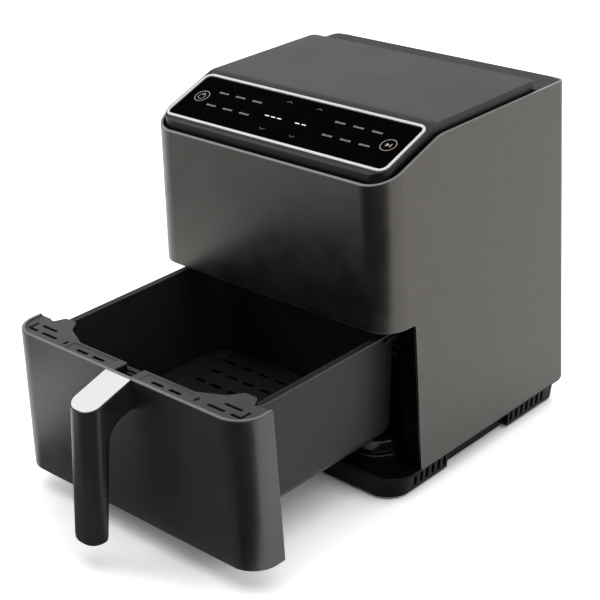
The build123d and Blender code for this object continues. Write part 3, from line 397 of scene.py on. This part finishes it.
# Touch glass. Polished glass, black behind, with faint smears from fingers. Its printed marks are two
# ringed buttons, rows of short strokes for the programmes, arrows, and the lit dashes of the display.
glass_colour = (0.0004, 0.0004, 0.0005)
glass_thickness = 0.002
glass_edge = 0.0004
glass_polish = 0.05
smear_size = 0.016
smear_stretch = (1.0, 0.5, 1.0)
smear_detail = 5.0
smear_tint = (0.45, 0.8)
smear_dull = (0.4, 0.8)
smear_roughness = 0.13
dust_size = 0.0006
dust_height = 0.0000005
print_height = 0.00006
print_corner = 0.35
label_columns = (0.050, 0.071, 0.092)
label_rows = (0.0115, -0.0075)
label_bars = (-0.0054, -0.0036, -0.0016, 0.0006, 0.0026, 0.0046)
label_bar = (0.0009, 0.0021)
button_x = 0.1125
button_y = 0.0015
button_radius = 0.0074
button_line = 0.00034
power_core = 0.48
power_core_line = 0.8
power_core_drop = 0.0004
power_bar = (0.0010, 0.0036)
power_bar_rise = 0.0030
start_y = button_y - 0.0015
start_bar = (0.0010, 0.0044)
start_bar_shift = 0.0026
start_point = 0.0026
start_point_shift = -0.0012
dash_length = 0.0052
dash_width = 0.0011
dash_row = -0.0022
dash_columns = (-0.0262, -0.0188, -0.0114, 0.0105, 0.0180)
arrow_x = 0.018
arrow_rows = (0.0215, -0.0195)
arrow_reach = 0.0036
arrow_line = 0.0008
arrow_angle = math.radians(32.0)
ink_grain = 0.0012
ink_range = (0.35, 0.65)

material, shader, net = new_material("panel_glass", {"Specular IOR Level": 0.5, "IOR": 1.5})
smears = noise(net, smear_size, smear_stretch, smear_detail)
dust = noise(net, dust_size)
smeared = shades(smears.ramp(*smear_tint), glass_colour, dark=1.0, light=2.2)
feed(shader, {"Base Color": smeared,
              "Roughness": smears.ramp(*smear_dull, glass_polish, smear_roughness),
              "Normal": bumped(net, dust, dust_height, soft_edge(net, glass_edge))})
dress(material, "touch_glass")

glass_low, glass_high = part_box("touch_glass")
glass_face = max((face for face in nodes["touch_glass"].data.polygons if face.normal.z > 0.5),
                 key=lambda face: face.area)
panel_angle = math.atan2(-glass_face.normal.y, glass_face.normal.z)
panel_top = (glass_low + glass_high) / 2 + glass_face.normal * (glass_thickness / 2)
panel = Matrix.Translation(panel_top) @ Matrix.Rotation(panel_angle, 4, "X")


def raise_print():
    """Draws the selected flat print up to its height and leaves edit mode."""
    bpy.ops.mesh.extrude_region_move(TRANSFORM_OT_translate={"value": (0.0, 0.0, print_height)})
    bpy.ops.mesh.select_all(action="SELECT")
    bpy.ops.mesh.normals_make_consistent(inside=False)
    bpy.ops.object.mode_set(mode="OBJECT")


def mark(x, y, length, width, turn=0.0):
    """One printed stroke with cut corners, lying on the glass."""
    bpy.ops.mesh.primitive_plane_add(size=1.0)
    stroke = bpy.context.object
    stroke.scale = (length, width, 1.0)
    bpy.ops.object.transform_apply(scale=True)
    bpy.ops.object.mode_set(mode="EDIT")
    bpy.ops.mesh.bevel(offset=min(length, width) * print_corner, segments=2, affect="VERTICES")
    raise_print()
    stroke.data.transform(panel @ Matrix.Translation((x, y, 0.0)) @ Matrix.Rotation(turn, 4, "Z"))
    return stroke


def ring(x, y, radius, line):
    """One printed circle: a fine hoop pressed flat on the glass."""
    bpy.ops.mesh.primitive_torus_add(major_radius=radius, minor_radius=line,
                                     major_segments=56, minor_segments=8)
    hoop = bpy.context.object
    bpy.ops.object.mode_set(mode="EDIT")
    bpy.ops.mesh.select_all(action="SELECT")
    bpy.ops.transform.resize(value=(1.0, 1.0, print_height / line))
    bpy.ops.object.mode_set(mode="OBJECT")
    hoop.data.transform(panel @ Matrix.Translation((x, y, print_height / 2)))
    return hoop


def pointer(x, y, radius):
    """One printed triangle that points to the right."""
    bpy.ops.mesh.primitive_circle_add(vertices=3, radius=radius, fill_type="NGON")
    triangle = bpy.context.object
    bpy.ops.object.mode_set(mode="EDIT")
    bpy.ops.mesh.select_all(action="SELECT")
    raise_print()
    triangle.data.transform(panel @ Matrix.Translation((x, y, 0.0)) @ Matrix.Rotation(-math.pi / 2, 4, "Z"))
    return triangle


def arrow(x, y, pointing, line):
    """A chevron of two strokes that points up or down the panel."""
    lean = arrow_angle * pointing
    step = arrow_reach * math.cos(lean) / 2
    return [mark(x - step, y, arrow_reach, line, lean), mark(x + step, y, arrow_reach, line, -lean)]


def joined(parts, name):
    """Several meshes made into one piece under a name."""
    bpy.ops.object.select_all(action="DESELECT")
    for part in parts:
        part.select_set(True)
    bpy.context.view_layer.objects.active = parts[0]
    if len(parts) > 1:
        bpy.ops.object.join()
    piece = bpy.context.object
    piece.name = name
    piece.data.name = name
    bpy.ops.object.select_all(action="DESELECT")
    return piece


def lit(name, colour, glow):
    """Print lit from behind: a pale ink, slightly uneven, that glows through the glass."""
    ink, shader, net = new_material(name, {"Roughness": 0.4, "Emission Strength": glow})
    patchy = noise(net, ink_grain).ramp(*ink_range)
    feed(shader, {"Base Color": shades(patchy, colour, dark=0.25, light=0.4),
                  "Emission Color": shades(patchy, colour, dark=0.75, light=1.0)})
    return ink


labels = []
for side in (-1, 1):
    for column in label_columns:
        for row in label_rows:
            labels += [mark(side * column + bar, row, *label_bar) for bar in label_bars]
power_button = [ring(-button_x, button_y, button_radius, button_line),
                ring(-button_x, button_y - power_core_drop, button_radius * power_core,
                     button_line * power_core_line),
                mark(-button_x, button_y + power_bar_rise, *power_bar)]
start_button = [ring(button_x, start_y, button_radius, button_line),
                mark(button_x + start_bar_shift, start_y, *start_bar),
                pointer(button_x + start_point_shift, start_y, start_point)]
dashes = [mark(x, dash_row, dash_length, dash_width) for x in dash_columns]
arrows = [part for x in (-arrow_x, arrow_x)
          for row, pointing in zip(arrow_rows, (1, -1))
          for part in arrow(x, row, pointing, arrow_line)]

for piece, ink in ((joined(labels, "panel_labels"), lit("ink_labels", (0.62, 0.64, 0.66), glow=0.34)),
                   (joined(power_button, "power_mark"), lit("ink_power", (0.60, 0.61, 0.62), glow=0.32)),
                   (joined(start_button, "start_mark"), lit("ink_start", (0.70, 0.60, 0.52), glow=0.32)),
                   (joined(dashes, "display_dashes"), lit("ink_dashes", (0.95, 0.96, 1.0), glow=0.95)),
                   (joined(arrows, "panel_arrows"), lit("ink_arrows", (0.30, 0.31, 0.32), glow=0.06))):
    piece.data.materials.append(ink)
    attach(piece, "housing")

# Rear cover and wall stops. A fine-grained black moulding with louvres, screwed to the shell's
# rear edges, and two short stops pushed into it that keep the louvres off a wall.
screw_radius = 0.0036
screw_height = 0.0016
screw_crown = screw_height * 0.6
screw_smooth = math.radians(35.0)
recess_length = screw_radius * 1.1
recess_width = screw_radius * 0.26
recess_depth = screw_height * 1.1
rear_screws = ((-0.124, 0.075), (0.124, 0.075), (-0.118, 0.235), (0.118, 0.235),
               (-0.116, 0.300), (0.116, 0.300))

dress(moulded("rear_grain", colour=(0.026, 0.026, 0.028), roughness=0.52, grain=0.0011, depth=0.00003,
              edge=0.0008, edge_gain=2.4, constants={"Specular IOR Level": 0.35}),
      "rear_cover", "wall_stops")


def combine(piece, tool, operation):
    """Cuts a tool out of a piece or joins it on, and takes the tool away."""
    bpy.ops.object.select_all(action="DESELECT")
    piece.select_set(True)
    bpy.context.view_layer.objects.active = piece
    step = piece.modifiers.new("step", "BOOLEAN")
    step.operation = operation
    step.object = tool
    bpy.ops.object.modifier_apply(modifier=step.name)
    bpy.data.objects.remove(tool)


def cross_screw(name):
    """A pan-head screw seen from above: a domed head with a cross-shaped recess, facing +Z."""
    bpy.ops.mesh.primitive_cylinder_add(vertices=28, radius=screw_radius, depth=screw_height,
                                        location=(0, 0, screw_height / 2))
    head = bpy.context.object
    bpy.ops.object.transform_apply(location=True)
    crown = head.modifiers.new("crown", "BEVEL")
    crown.width = screw_crown
    crown.segments = 3
    crown.limit_method = "ANGLE"
    bpy.ops.object.modifier_apply(modifier=crown.name)
    for turn in (0.0, math.pi / 2):
        bpy.ops.mesh.primitive_cube_add(size=1.0)
        bar = bpy.context.object
        bar.data.transform(Matrix.Translation((0, 0, screw_height)) @ Matrix.Rotation(turn, 4, "Z")
                           @ Matrix.Diagonal((recess_length, recess_width, recess_depth, 1.0)))
        combine(head, bar, "DIFFERENCE")
    bpy.ops.object.shade_smooth_by_angle(angle=screw_smooth)
    head.name = name
    return head


def screw_set(name, places, matrix_at):
    """One screw modelled once and copied to several places, as one piece."""
    first = cross_screw(name)
    copies = []
    for place in places:
        copy = first.copy()
        copy.data = first.data.copy()
        copy.data.transform(matrix_at(place))
        scene.collection.objects.link(copy)
        copies.append(copy)
    bpy.data.objects.remove(first)
    return joined(copies, name)


screw_steel = plated("screw_zinc", colour=(0.36, 0.36, 0.37), roughness=0.34, stretch=(1.0, 1.0, 1.0),
                     edge=0.0003, constants={"Metallic": 0.9})
rear_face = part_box("rear_cover")[1].y
rear_set = screw_set("rear_screws", rear_screws,
                     lambda spot: Matrix.Translation((spot[0], rear_face, spot[1]))
                     @ Matrix.Rotation(-math.pi / 2, 4, "X"))
rear_set.data.materials.append(screw_steel)
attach(rear_set, "housing")

# Cord bush. A short rubber bush snapped into the rear cover's hole, so that a cord doesn't rub on the
# hole's edge.
rubber = {"Specular IOR Level": 0.30}
dress(moulded("bush_rubber", colour=(0.022, 0.022, 0.024), roughness=0.60, grain=0.0009, depth=0.00004,
              edge=0.0006, edge_gain=1.8, constants=rubber), "cord_gland")

# Base. A glossy black moulding with slots for air, a satin plate screwed on from below, and soft
# rubber pads under the plate to stand on.
bottom_screws = ((-0.060, 0.114), (0.060, 0.114), (-0.060, -0.114), (0.060, -0.114))

# The base's edges are lightened strongly: a painted highlight along its lip.
dress(moulded("base_gloss", colour=(0.003, 0.003, 0.0034), roughness=0.24, grain=0.0010, depth=0.000006,
              edge=0.0008, edge_gain=16.0, constants={"Specular IOR Level": 0.06}), "base_tray")
dress(moulded("bottom_satin", colour=(0.014, 0.014, 0.015), roughness=0.48, grain=0.0010, depth=0.00002,
              edge=0.0008, edge_gain=2.5, constants={"Specular IOR Level": 0.4}), "bottom_plate")
dress(moulded("pad_rubber", colour=(0.018, 0.018, 0.019), roughness=0.72, grain=0.0008, depth=0.00005,
              edge=0.0006, edge_gain=1.6, constants=rubber), "rubber_feet")

plate_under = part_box("bottom_plate")[0].z
bottom_set = screw_set("bottom_screws", bottom_screws,
                       lambda spot: Matrix.Translation((spot[0], spot[1], plate_under))
                       @ Matrix.Rotation(math.pi, 4, "X"))
bottom_set.data.materials.append(screw_steel)
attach(bottom_set, "housing")

# Mouth frame and rails. Satin black heat-proof mouldings: the frame, painted near black as painted shade for
# the unlit mouth, is clipped inside the shell round the drawer's mouth, and the rails sit on the liner's
# sides under the basket's rim.
dress(moulded("mouth_painted_shade", colour=(0.0015, 0.0015, 0.0016), roughness=0.40, grain=0.0010, depth=0.000008,
              edge=0.0008, edge_gain=5.0, constants={"Specular IOR Level": 0.03}), "mouth_frame")
dress(moulded("rail_black", colour=(0.003, 0.003, 0.0032), roughness=0.40, grain=0.0012, depth=0.00001,
              edge=0.0006, edge_gain=3.0, constants={"Specular IOR Level": 0.15}), "right_rail", "left_rail")

# Chamber. A liner folded from sheet and painted near black as painted shade for the unlit chamber, the short
# duct of plain sheet behind it, and a raised sheet floor with a black enamel.
liner_painted_shade = moulded("liner_painted_shade", colour=(0.004, 0.004, 0.0043), roughness=0.46, grain=0.0012,
                     depth=0.00001, edge=0.0006, edge_gain=2.0, constants={"Specular IOR Level": 0.06})
dress(liner_painted_shade, "chamber_liner")
dress(plated("duct_sheet", colour=(0.46, 0.46, 0.47), roughness=0.38, stretch=(1.0, 0.04, 1.0), edge=0.0005,
             constants={"Metallic": 0.9}), "exhaust_duct")
dress(moulded("floor_enamel", colour=(0.004, 0.004, 0.0043), roughness=0.16, grain=0.0016, depth=0.00001,
              edge=0.0012, edge_gain=2.5,
              constants={"Specular IOR Level": 0.35, "Coat Weight": 0.2, "Coat Roughness": 0.08}),
      "chamber_floor")

# Vent baffle. A dark sheet in the liner's painted-shade black that stands across the duct, let into its two
# sides, with a gap above and below it for the air. It is a painted shade: it keeps the louvres from showing
# as light when seen from the drawer.
baffle_thickness = 0.0010
baffle_inset = 0.0040
baffle_edge = 0.0003

duct_low, duct_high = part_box("exhaust_duct")
duct_size = duct_high - duct_low
bpy.ops.mesh.primitive_cube_add(size=1.0)
baffle = bpy.context.object
baffle.data.transform(Matrix.Translation((duct_low + duct_high) / 2)
                      @ Matrix.Diagonal((duct_size.x - baffle_thickness, baffle_thickness,
                                         duct_size.z - 2 * baffle_inset, 1.0)))
bpy.ops.object.mode_set(mode="EDIT")
bpy.ops.mesh.select_all(action="SELECT")
bpy.ops.mesh.bevel(offset=baffle_edge, segments=2, affect="EDGES")
bpy.ops.object.mode_set(mode="OBJECT")
baffle = joined([baffle], "painted_shade_baffle")
baffle.data.materials.append(liner_painted_shade)
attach(baffle, "housing")


# Heaters, clips, sensor, reflector and guard. Sheathed tubes turned straw and blue by heat, on
# strips of steel darkened as painted shade: one in the floor's dish, one under a bright pressed dome and
# over a wire guard.
band_length = 0.030
scale_size = 0.0008
scale_height = 0.00001
sheath_edge = 0.0003
straw_bands = (0.42, 0.55)
blue_bands = (0.55, 0.66)


def heat_tinted(name, colour, straw, blue):
    """A steel sheath with the soft bands of colour that heat leaves on it."""
    material, shader, net = new_material(name, {"Metallic": 0.9})
    bands = noise(net, band_length)
    fine = noise(net, scale_size)
    tint = bands.ramp(*straw_bands).colours(shade(colour, 1.0), shade(straw, 1.0))
    tint = bands.ramp(*blue_bands).colours(tint, shade(blue, 1.0))
    feed(shader, {"Base Color": fine.ramp(*noise_range).colours(tint, shade(colour, 0.8)),
                  "Roughness": fine.ramp(*noise_range, low=0.34, high=0.48),
                  "Normal": bumped(net, fine, scale_height, soft_edge(net, sheath_edge))})
    return material


dress(heat_tinted("sheath_tinted", colour=(0.070, 0.066, 0.062), straw=(0.100, 0.078, 0.048),
                  blue=(0.045, 0.050, 0.070)), "lower_heater", "upper_heater")
# The clips and the sensor are darkened: painted shade inside the chamber.
dress(plated("clip_strip", colour=(0.16, 0.16, 0.16), roughness=0.40, stretch=(1.0, 0.05, 1.0), edge=0.0004,
             constants={"Metallic": 0.9}), "dish_clips", "heater_clips", "temperature_probe")
dress(plated("dome_pressed", colour=(0.58, 0.58, 0.58), roughness=0.26, stretch=(1.0, 1.0, 0.06),
             edge=0.0006, constants={"Metallic": 0.95}), "heater_dome")
dress(plated("guard_wire", colour=(0.60, 0.60, 0.61), roughness=0.22, stretch=(1.0, 1.0, 1.0),
             edge=0.0008, constants={"Metallic": 0.95}), "heater_guard")

# Fans, shaft and motor. Pressed aluminium fans on a ground shaft, in a plated motor can with
# sintered bearings, on a bracket over the dome.
dress(plated("fan_sheet", colour=(0.66, 0.66, 0.67), roughness=0.32, stretch=(0.08, 1.0, 1.0),
             edge=0.0004, constants={"Metallic": 0.9}), "hot_fan", "cooling_fan")
dress(plated("shaft_ground", colour=(0.55, 0.55, 0.56), roughness=0.20, stretch=(1.0, 1.0, 0.6),
             edge=0.0003, constants={"Metallic": 0.95}), "motor_shaft", "fan_nut")
dress(plated("motor_plate", colour=(0.42, 0.42, 0.43), roughness=0.33, stretch=(1.0, 1.0, 0.08),
             edge=0.0008, constants={"Metallic": 0.9}), "motor_can", "motor_rotor")
dress(plated("bearing_sinter", colour=(0.62, 0.46, 0.20), roughness=0.42, stretch=(1.0, 1.0, 1.0),
             edge=0.0004, constants={"Metallic": 0.9}), "lower_bearing", "upper_bearing")
dress(plated("bracket_plate", colour=(0.48, 0.48, 0.49), roughness=0.36, stretch=(0.06, 1.0, 1.0),
             edge=0.0006, constants={"Metallic": 0.9}), "motor_bracket")

# Boards and small electrical parts. Green solder mask over copper tracks, an unglazed ceramic cut-out,
# and the drawer switch with its plunger painted near black as painted shade.
track_pitch = 1 / 160
track_gap = 0.06
track_shift = 0.37
track_height = 0.00003
mask_green = (0.012, 0.070, 0.030)
track_green = (0.030, 0.120, 0.050)
weave_size = 0.0006
board_edge = 0.0003

material, shader, net = new_material("solder_mask", {"Specular IOR Level": 0.5})
place = net.node("TexCoord", {}, {}, "Object")
tracks = net.node("TexBrick", {"offset": track_shift},
                  {"Vector": place, "Scale": 1 / track_pitch, "Mortar Size": track_gap}, "Fac")
weave = noise(net, weave_size)
feed(shader, {"Base Color": tracks.colours(shade(mask_green, 1.0), shade(track_green, 1.0)),
              "Roughness": weave.ramp(*noise_range, low=0.28, high=0.40),
              "Normal": bumped(net, tracks, track_height, soft_edge(net, board_edge))})
dress(material, "control_board", "power_board")
dress(moulded("fuse_ceramic", colour=(0.70, 0.67, 0.60), roughness=0.62, grain=0.0006, depth=0.00003,
              edge=0.0004, edge_gain=1.05, constants={}), "thermal_fuse")
dress(moulded("switch_case", colour=(0.030, 0.030, 0.032), roughness=0.45, grain=0.0009, depth=0.00001,
              edge=0.0005, edge_gain=2.0, constants={}), "drawer_switch")
dress(moulded("plunger_dark", colour=(0.003, 0.003, 0.0032), roughness=0.38, grain=0.0009, depth=0.000006,
              edge=0.0003, edge_gain=2.0, constants={"Specular IOR Level": 0.06}), "switch_plunger")

# Drawer front. A moulded panel with round corners and short returns, sprayed with a metallic coat
# like the shell's, with the same painted highlight on its edges and up-facing top lip, and bolted to the
# handle.
dress(sprayed("drawer_coat", colour=(0.080, 0.078, 0.077), metallic=0.85, roughness=0.36, flake=0.0005,
              edge=0.0009, painted_highlight_colour=(0.20, 0.20, 0.20)), "drawer_front")

# Drawer bracket. A grey moulding with blind slots, screwed to the drawer front
# with the basket hung on it. Inside the slots and below its top it is painted black, a painted shade.
slot_shoulder = 0.0012
slot_fade = 0.0008
slot_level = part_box("drawer_bracket")[1].z - slot_shoulder


def painted_slot_shade(net):
    """1 inside the bracket's slots and under it, where the painted shade goes, 0 on its top."""
    place = net.node("TexCoord", {}, {}, "Object")
    return net.node("SeparateXYZ", {}, {"Vector": place}, "Z").ramp(slot_level, slot_level - slot_fade)


dress(moulded("bracket_grain", colour=(0.056, 0.058, 0.060), roughness=0.44, grain=0.0009, depth=0.00002,
              edge=0.0006, edge_gain=2.2, constants={"Specular IOR Level": 0.3}, painted_shade_where=painted_slot_shade),
      "drawer_bracket")


# Basket. Drawn from sheet, with a dark grey non-stick coat, finely speckled, and a flat rim, which runs on
# the rails, with its edges painted lighter as a painted highlight.
peel_size = 0.0022
peel_height = 0.00003
coat_patches = 0.05
speck_detail = 5.0
speck_range = (0.60, 0.70)
speck_gain = 1.7


def non_stick(name, colour, roughness, speck, edge, edge_gain):
    """A non-stick coat: a fine speckle and a slight orange peel over drawn sheet, with edges lightened as a
    painted highlight.
    """
    material, shader, net = new_material(name, {"Specular IOR Level": 0.22})
    specks = noise(net, speck, detail=speck_detail)
    peel = noise(net, peel_size)
    patches = noise(net, coat_patches)
    rounded = soft_edge(net, edge)
    edge_highlight = on_edge(net, rounded)
    body = shades(patches.ramp(*noise_range), colour, dark=0.88, light=1.12)
    flecked = specks.ramp(*speck_range).colours(body, shade(colour, speck_gain))
    feed(shader, {"Base Color": edge_highlight.colours(flecked, shade(colour, edge_gain)),
                  "Roughness": varied(peel, roughness, less=0.05, more=0.06),
                  "Normal": bumped(net, mixed(peel, specks, share=0.7), peel_height, rounded)})
    return material


dress(non_stick("basket_coat", colour=(0.014, 0.0142, 0.0145), roughness=0.40, speck=0.0008, edge=0.0009,
                edge_gain=12.0), "basket")

# Handle. A satin black arm that turns down into a grip with a round front, on two bolts, and a bright
# satin plate let into the top of the arm, round at its front end like the grip.
arm_length = 0.0475
arm_drop = 0.0140
arm_crust = 0.0030
grip_reach = 0.0590
handle_half = 0.01628
nose_depth = 0.0165
nose_round = 0.0140
nose_seam = 0.0125
nose_overlap = 1.2
tip_round = 0.0070
plate_half = 0.0154
plate_reach = 0.0482
plate_round = 0.0126
plate_stands = 0.0003
handle_smooth = math.radians(30.0)
weld = 0.000001
slack = 0.00007

grip_low, grip_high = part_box("handle_grip")
arm_start = Vector((0.0, grip_high.y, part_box("handle_plate")[1].z))
arm = Matrix.Translation(arm_start) @ Matrix.Rotation(math.atan2(arm_drop, arm_length), 4, "X")
lean = Vector((0.0, grip_reach - arm_length, arm_start.z - arm_drop - grip_low.z))
nose_front = Vector((0.0, arm_start.y - grip_reach, grip_low.z))


def pick(piece, kind, wanted):
    """Leaves the piece in edit mode with only the wanted points or edges selected."""
    bpy.ops.object.select_all(action="DESELECT")
    piece.select_set(True)
    bpy.context.view_layer.objects.active = piece
    bpy.ops.object.mode_set(mode="EDIT")
    bpy.ops.mesh.select_mode(type=kind)
    bpy.ops.mesh.select_all(action="DESELECT")
    bpy.ops.object.mode_set(mode="OBJECT")
    for item in piece.data.edges if kind == "EDGE" else piece.data.vertices:
        item.select = wanted(item)
    bpy.ops.object.mode_set(mode="EDIT")


def tongue(half, length, corner, raised):
    """A slab that runs forward from the origin to a round end, raised along a vector."""
    bpy.ops.mesh.primitive_plane_add(size=1.0)
    slab = bpy.context.object
    slab.data.transform(Matrix.Diagonal((2 * half, length, 1.0, 1.0)) @ Matrix.Translation((0.0, -0.5, 0.0)))
    pick(slab, "VERT", lambda point: point.co.y < -length / 2)
    bpy.ops.mesh.bevel(offset=corner, segments=14, affect="VERTICES")
    bpy.ops.mesh.select_all(action="SELECT")
    bpy.ops.mesh.extrude_region_move(TRANSFORM_OT_translate={"value": raised})
    bpy.ops.mesh.select_all(action="SELECT")
    bpy.ops.mesh.normals_make_consistent(inside=False)
    bpy.ops.object.mode_set(mode="OBJECT")
    return slab


def cut_off(piece, point, away):
    """Cuts a piece at a plane, closes it and drops what lies on the far side."""
    pick(piece, "VERT", lambda corner: True)
    bpy.ops.mesh.remove_doubles(threshold=weld)
    bpy.ops.mesh.select_all(action="SELECT")
    bpy.ops.mesh.bisect(plane_co=point, plane_no=away.normalized(), use_fill=True, clear_outer=True)
    bpy.ops.object.mode_set(mode="OBJECT")


nose = tongue(handle_half, nose_depth, nose_round, lean * nose_overlap)
nose.data.transform(Matrix.Translation(nose_front + Vector((0.0, nose_depth, 0.0))))
cut_off(nose, arm_start, Vector((0.0, -arm_drop, arm_length)))
foot_level = grip_low.z + slack
nose_back = nose_front.y + nose_depth - slack
pick(nose, "EDGE", lambda edge: all(nose.data.vertices[v].co.z < foot_level for v in edge.vertices)
     and any(nose.data.vertices[v].co.y < nose_back for v in edge.vertices))
bpy.ops.mesh.bevel(offset=tip_round, segments=8, affect="EDGES")
bpy.ops.object.mode_set(mode="OBJECT")

bpy.ops.mesh.primitive_cube_add(size=1.0)
crust = bpy.context.object
crust.data.transform(arm @ Matrix.Diagonal((2 * handle_half, arm_length - nose_seam, arm_crust, 1.0))
                     @ Matrix.Translation((0.0, -0.5, -0.5)))

handle = bpy.data.objects.new("handle_body", nodes["handle_grip"].data.copy())
handle.data.transform(nodes["handle_grip"].matrix_world)
handle.data.materials.clear()
scene.collection.objects.link(handle)
cut_off(handle, nose_front + Vector((0.0, nose_seam, 0.0)), Vector((0.0, -lean.z, lean.y)))
combine(handle, nose, "UNION")
combine(handle, crust, "UNION")
handle.data.name = handle.name
bpy.ops.object.shade_smooth_by_angle(angle=handle_smooth)
grip_satin = moulded("grip_satin", colour=(0.014, 0.014, 0.0144), roughness=0.36, grain=0.0008,
                     depth=0.000008, edge=0.0006, edge_gain=2.4, constants={"Specular IOR Level": 0.6})
dress(grip_satin, "handle_grip")
handle.data.materials.append(grip_satin)
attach(handle, "drawer")
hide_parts("handle_grip")

plate = tongue(plate_half, plate_reach, plate_round, (0.0, 0.0, 2 * plate_stands))
plate.data.transform(arm @ Matrix.Translation((0.0, 0.0, -plate_stands)))
plate = joined([plate], "handle_top")
plate_satin = plated("plate_satin", colour=(0.80, 0.815, 0.81), roughness=0.34, stretch=(1.0, 1.0, 1.0),
                     edge=0.0003, constants={"Metallic": 0.10, "Specular IOR Level": 0.6})
dress(plate_satin, "handle_plate")
plate.data.materials.append(plate_satin)
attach(plate, "drawer")
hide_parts("handle_plate")
dress(screw_steel, "handle_bolts")

# Crisper plate. Perforated sheet with the basket's coat and a low arch to lift it by. It stands loose
# in the basket on four silicone feet pushed through its corners.
dress(non_stick("crisper_coat", colour=(0.018, 0.0185, 0.019), roughness=0.44, speck=0.0008, edge=0.0006,
                edge_gain=3.0), "crisper_plate", "lift_arch")
dress(moulded("bumper_silicone", colour=(0.030, 0.030, 0.032), roughness=0.62, grain=0.0010, depth=0.00003,
              edge=0.0006, edge_gain=1.6, constants=rubber), "plate_bumpers")
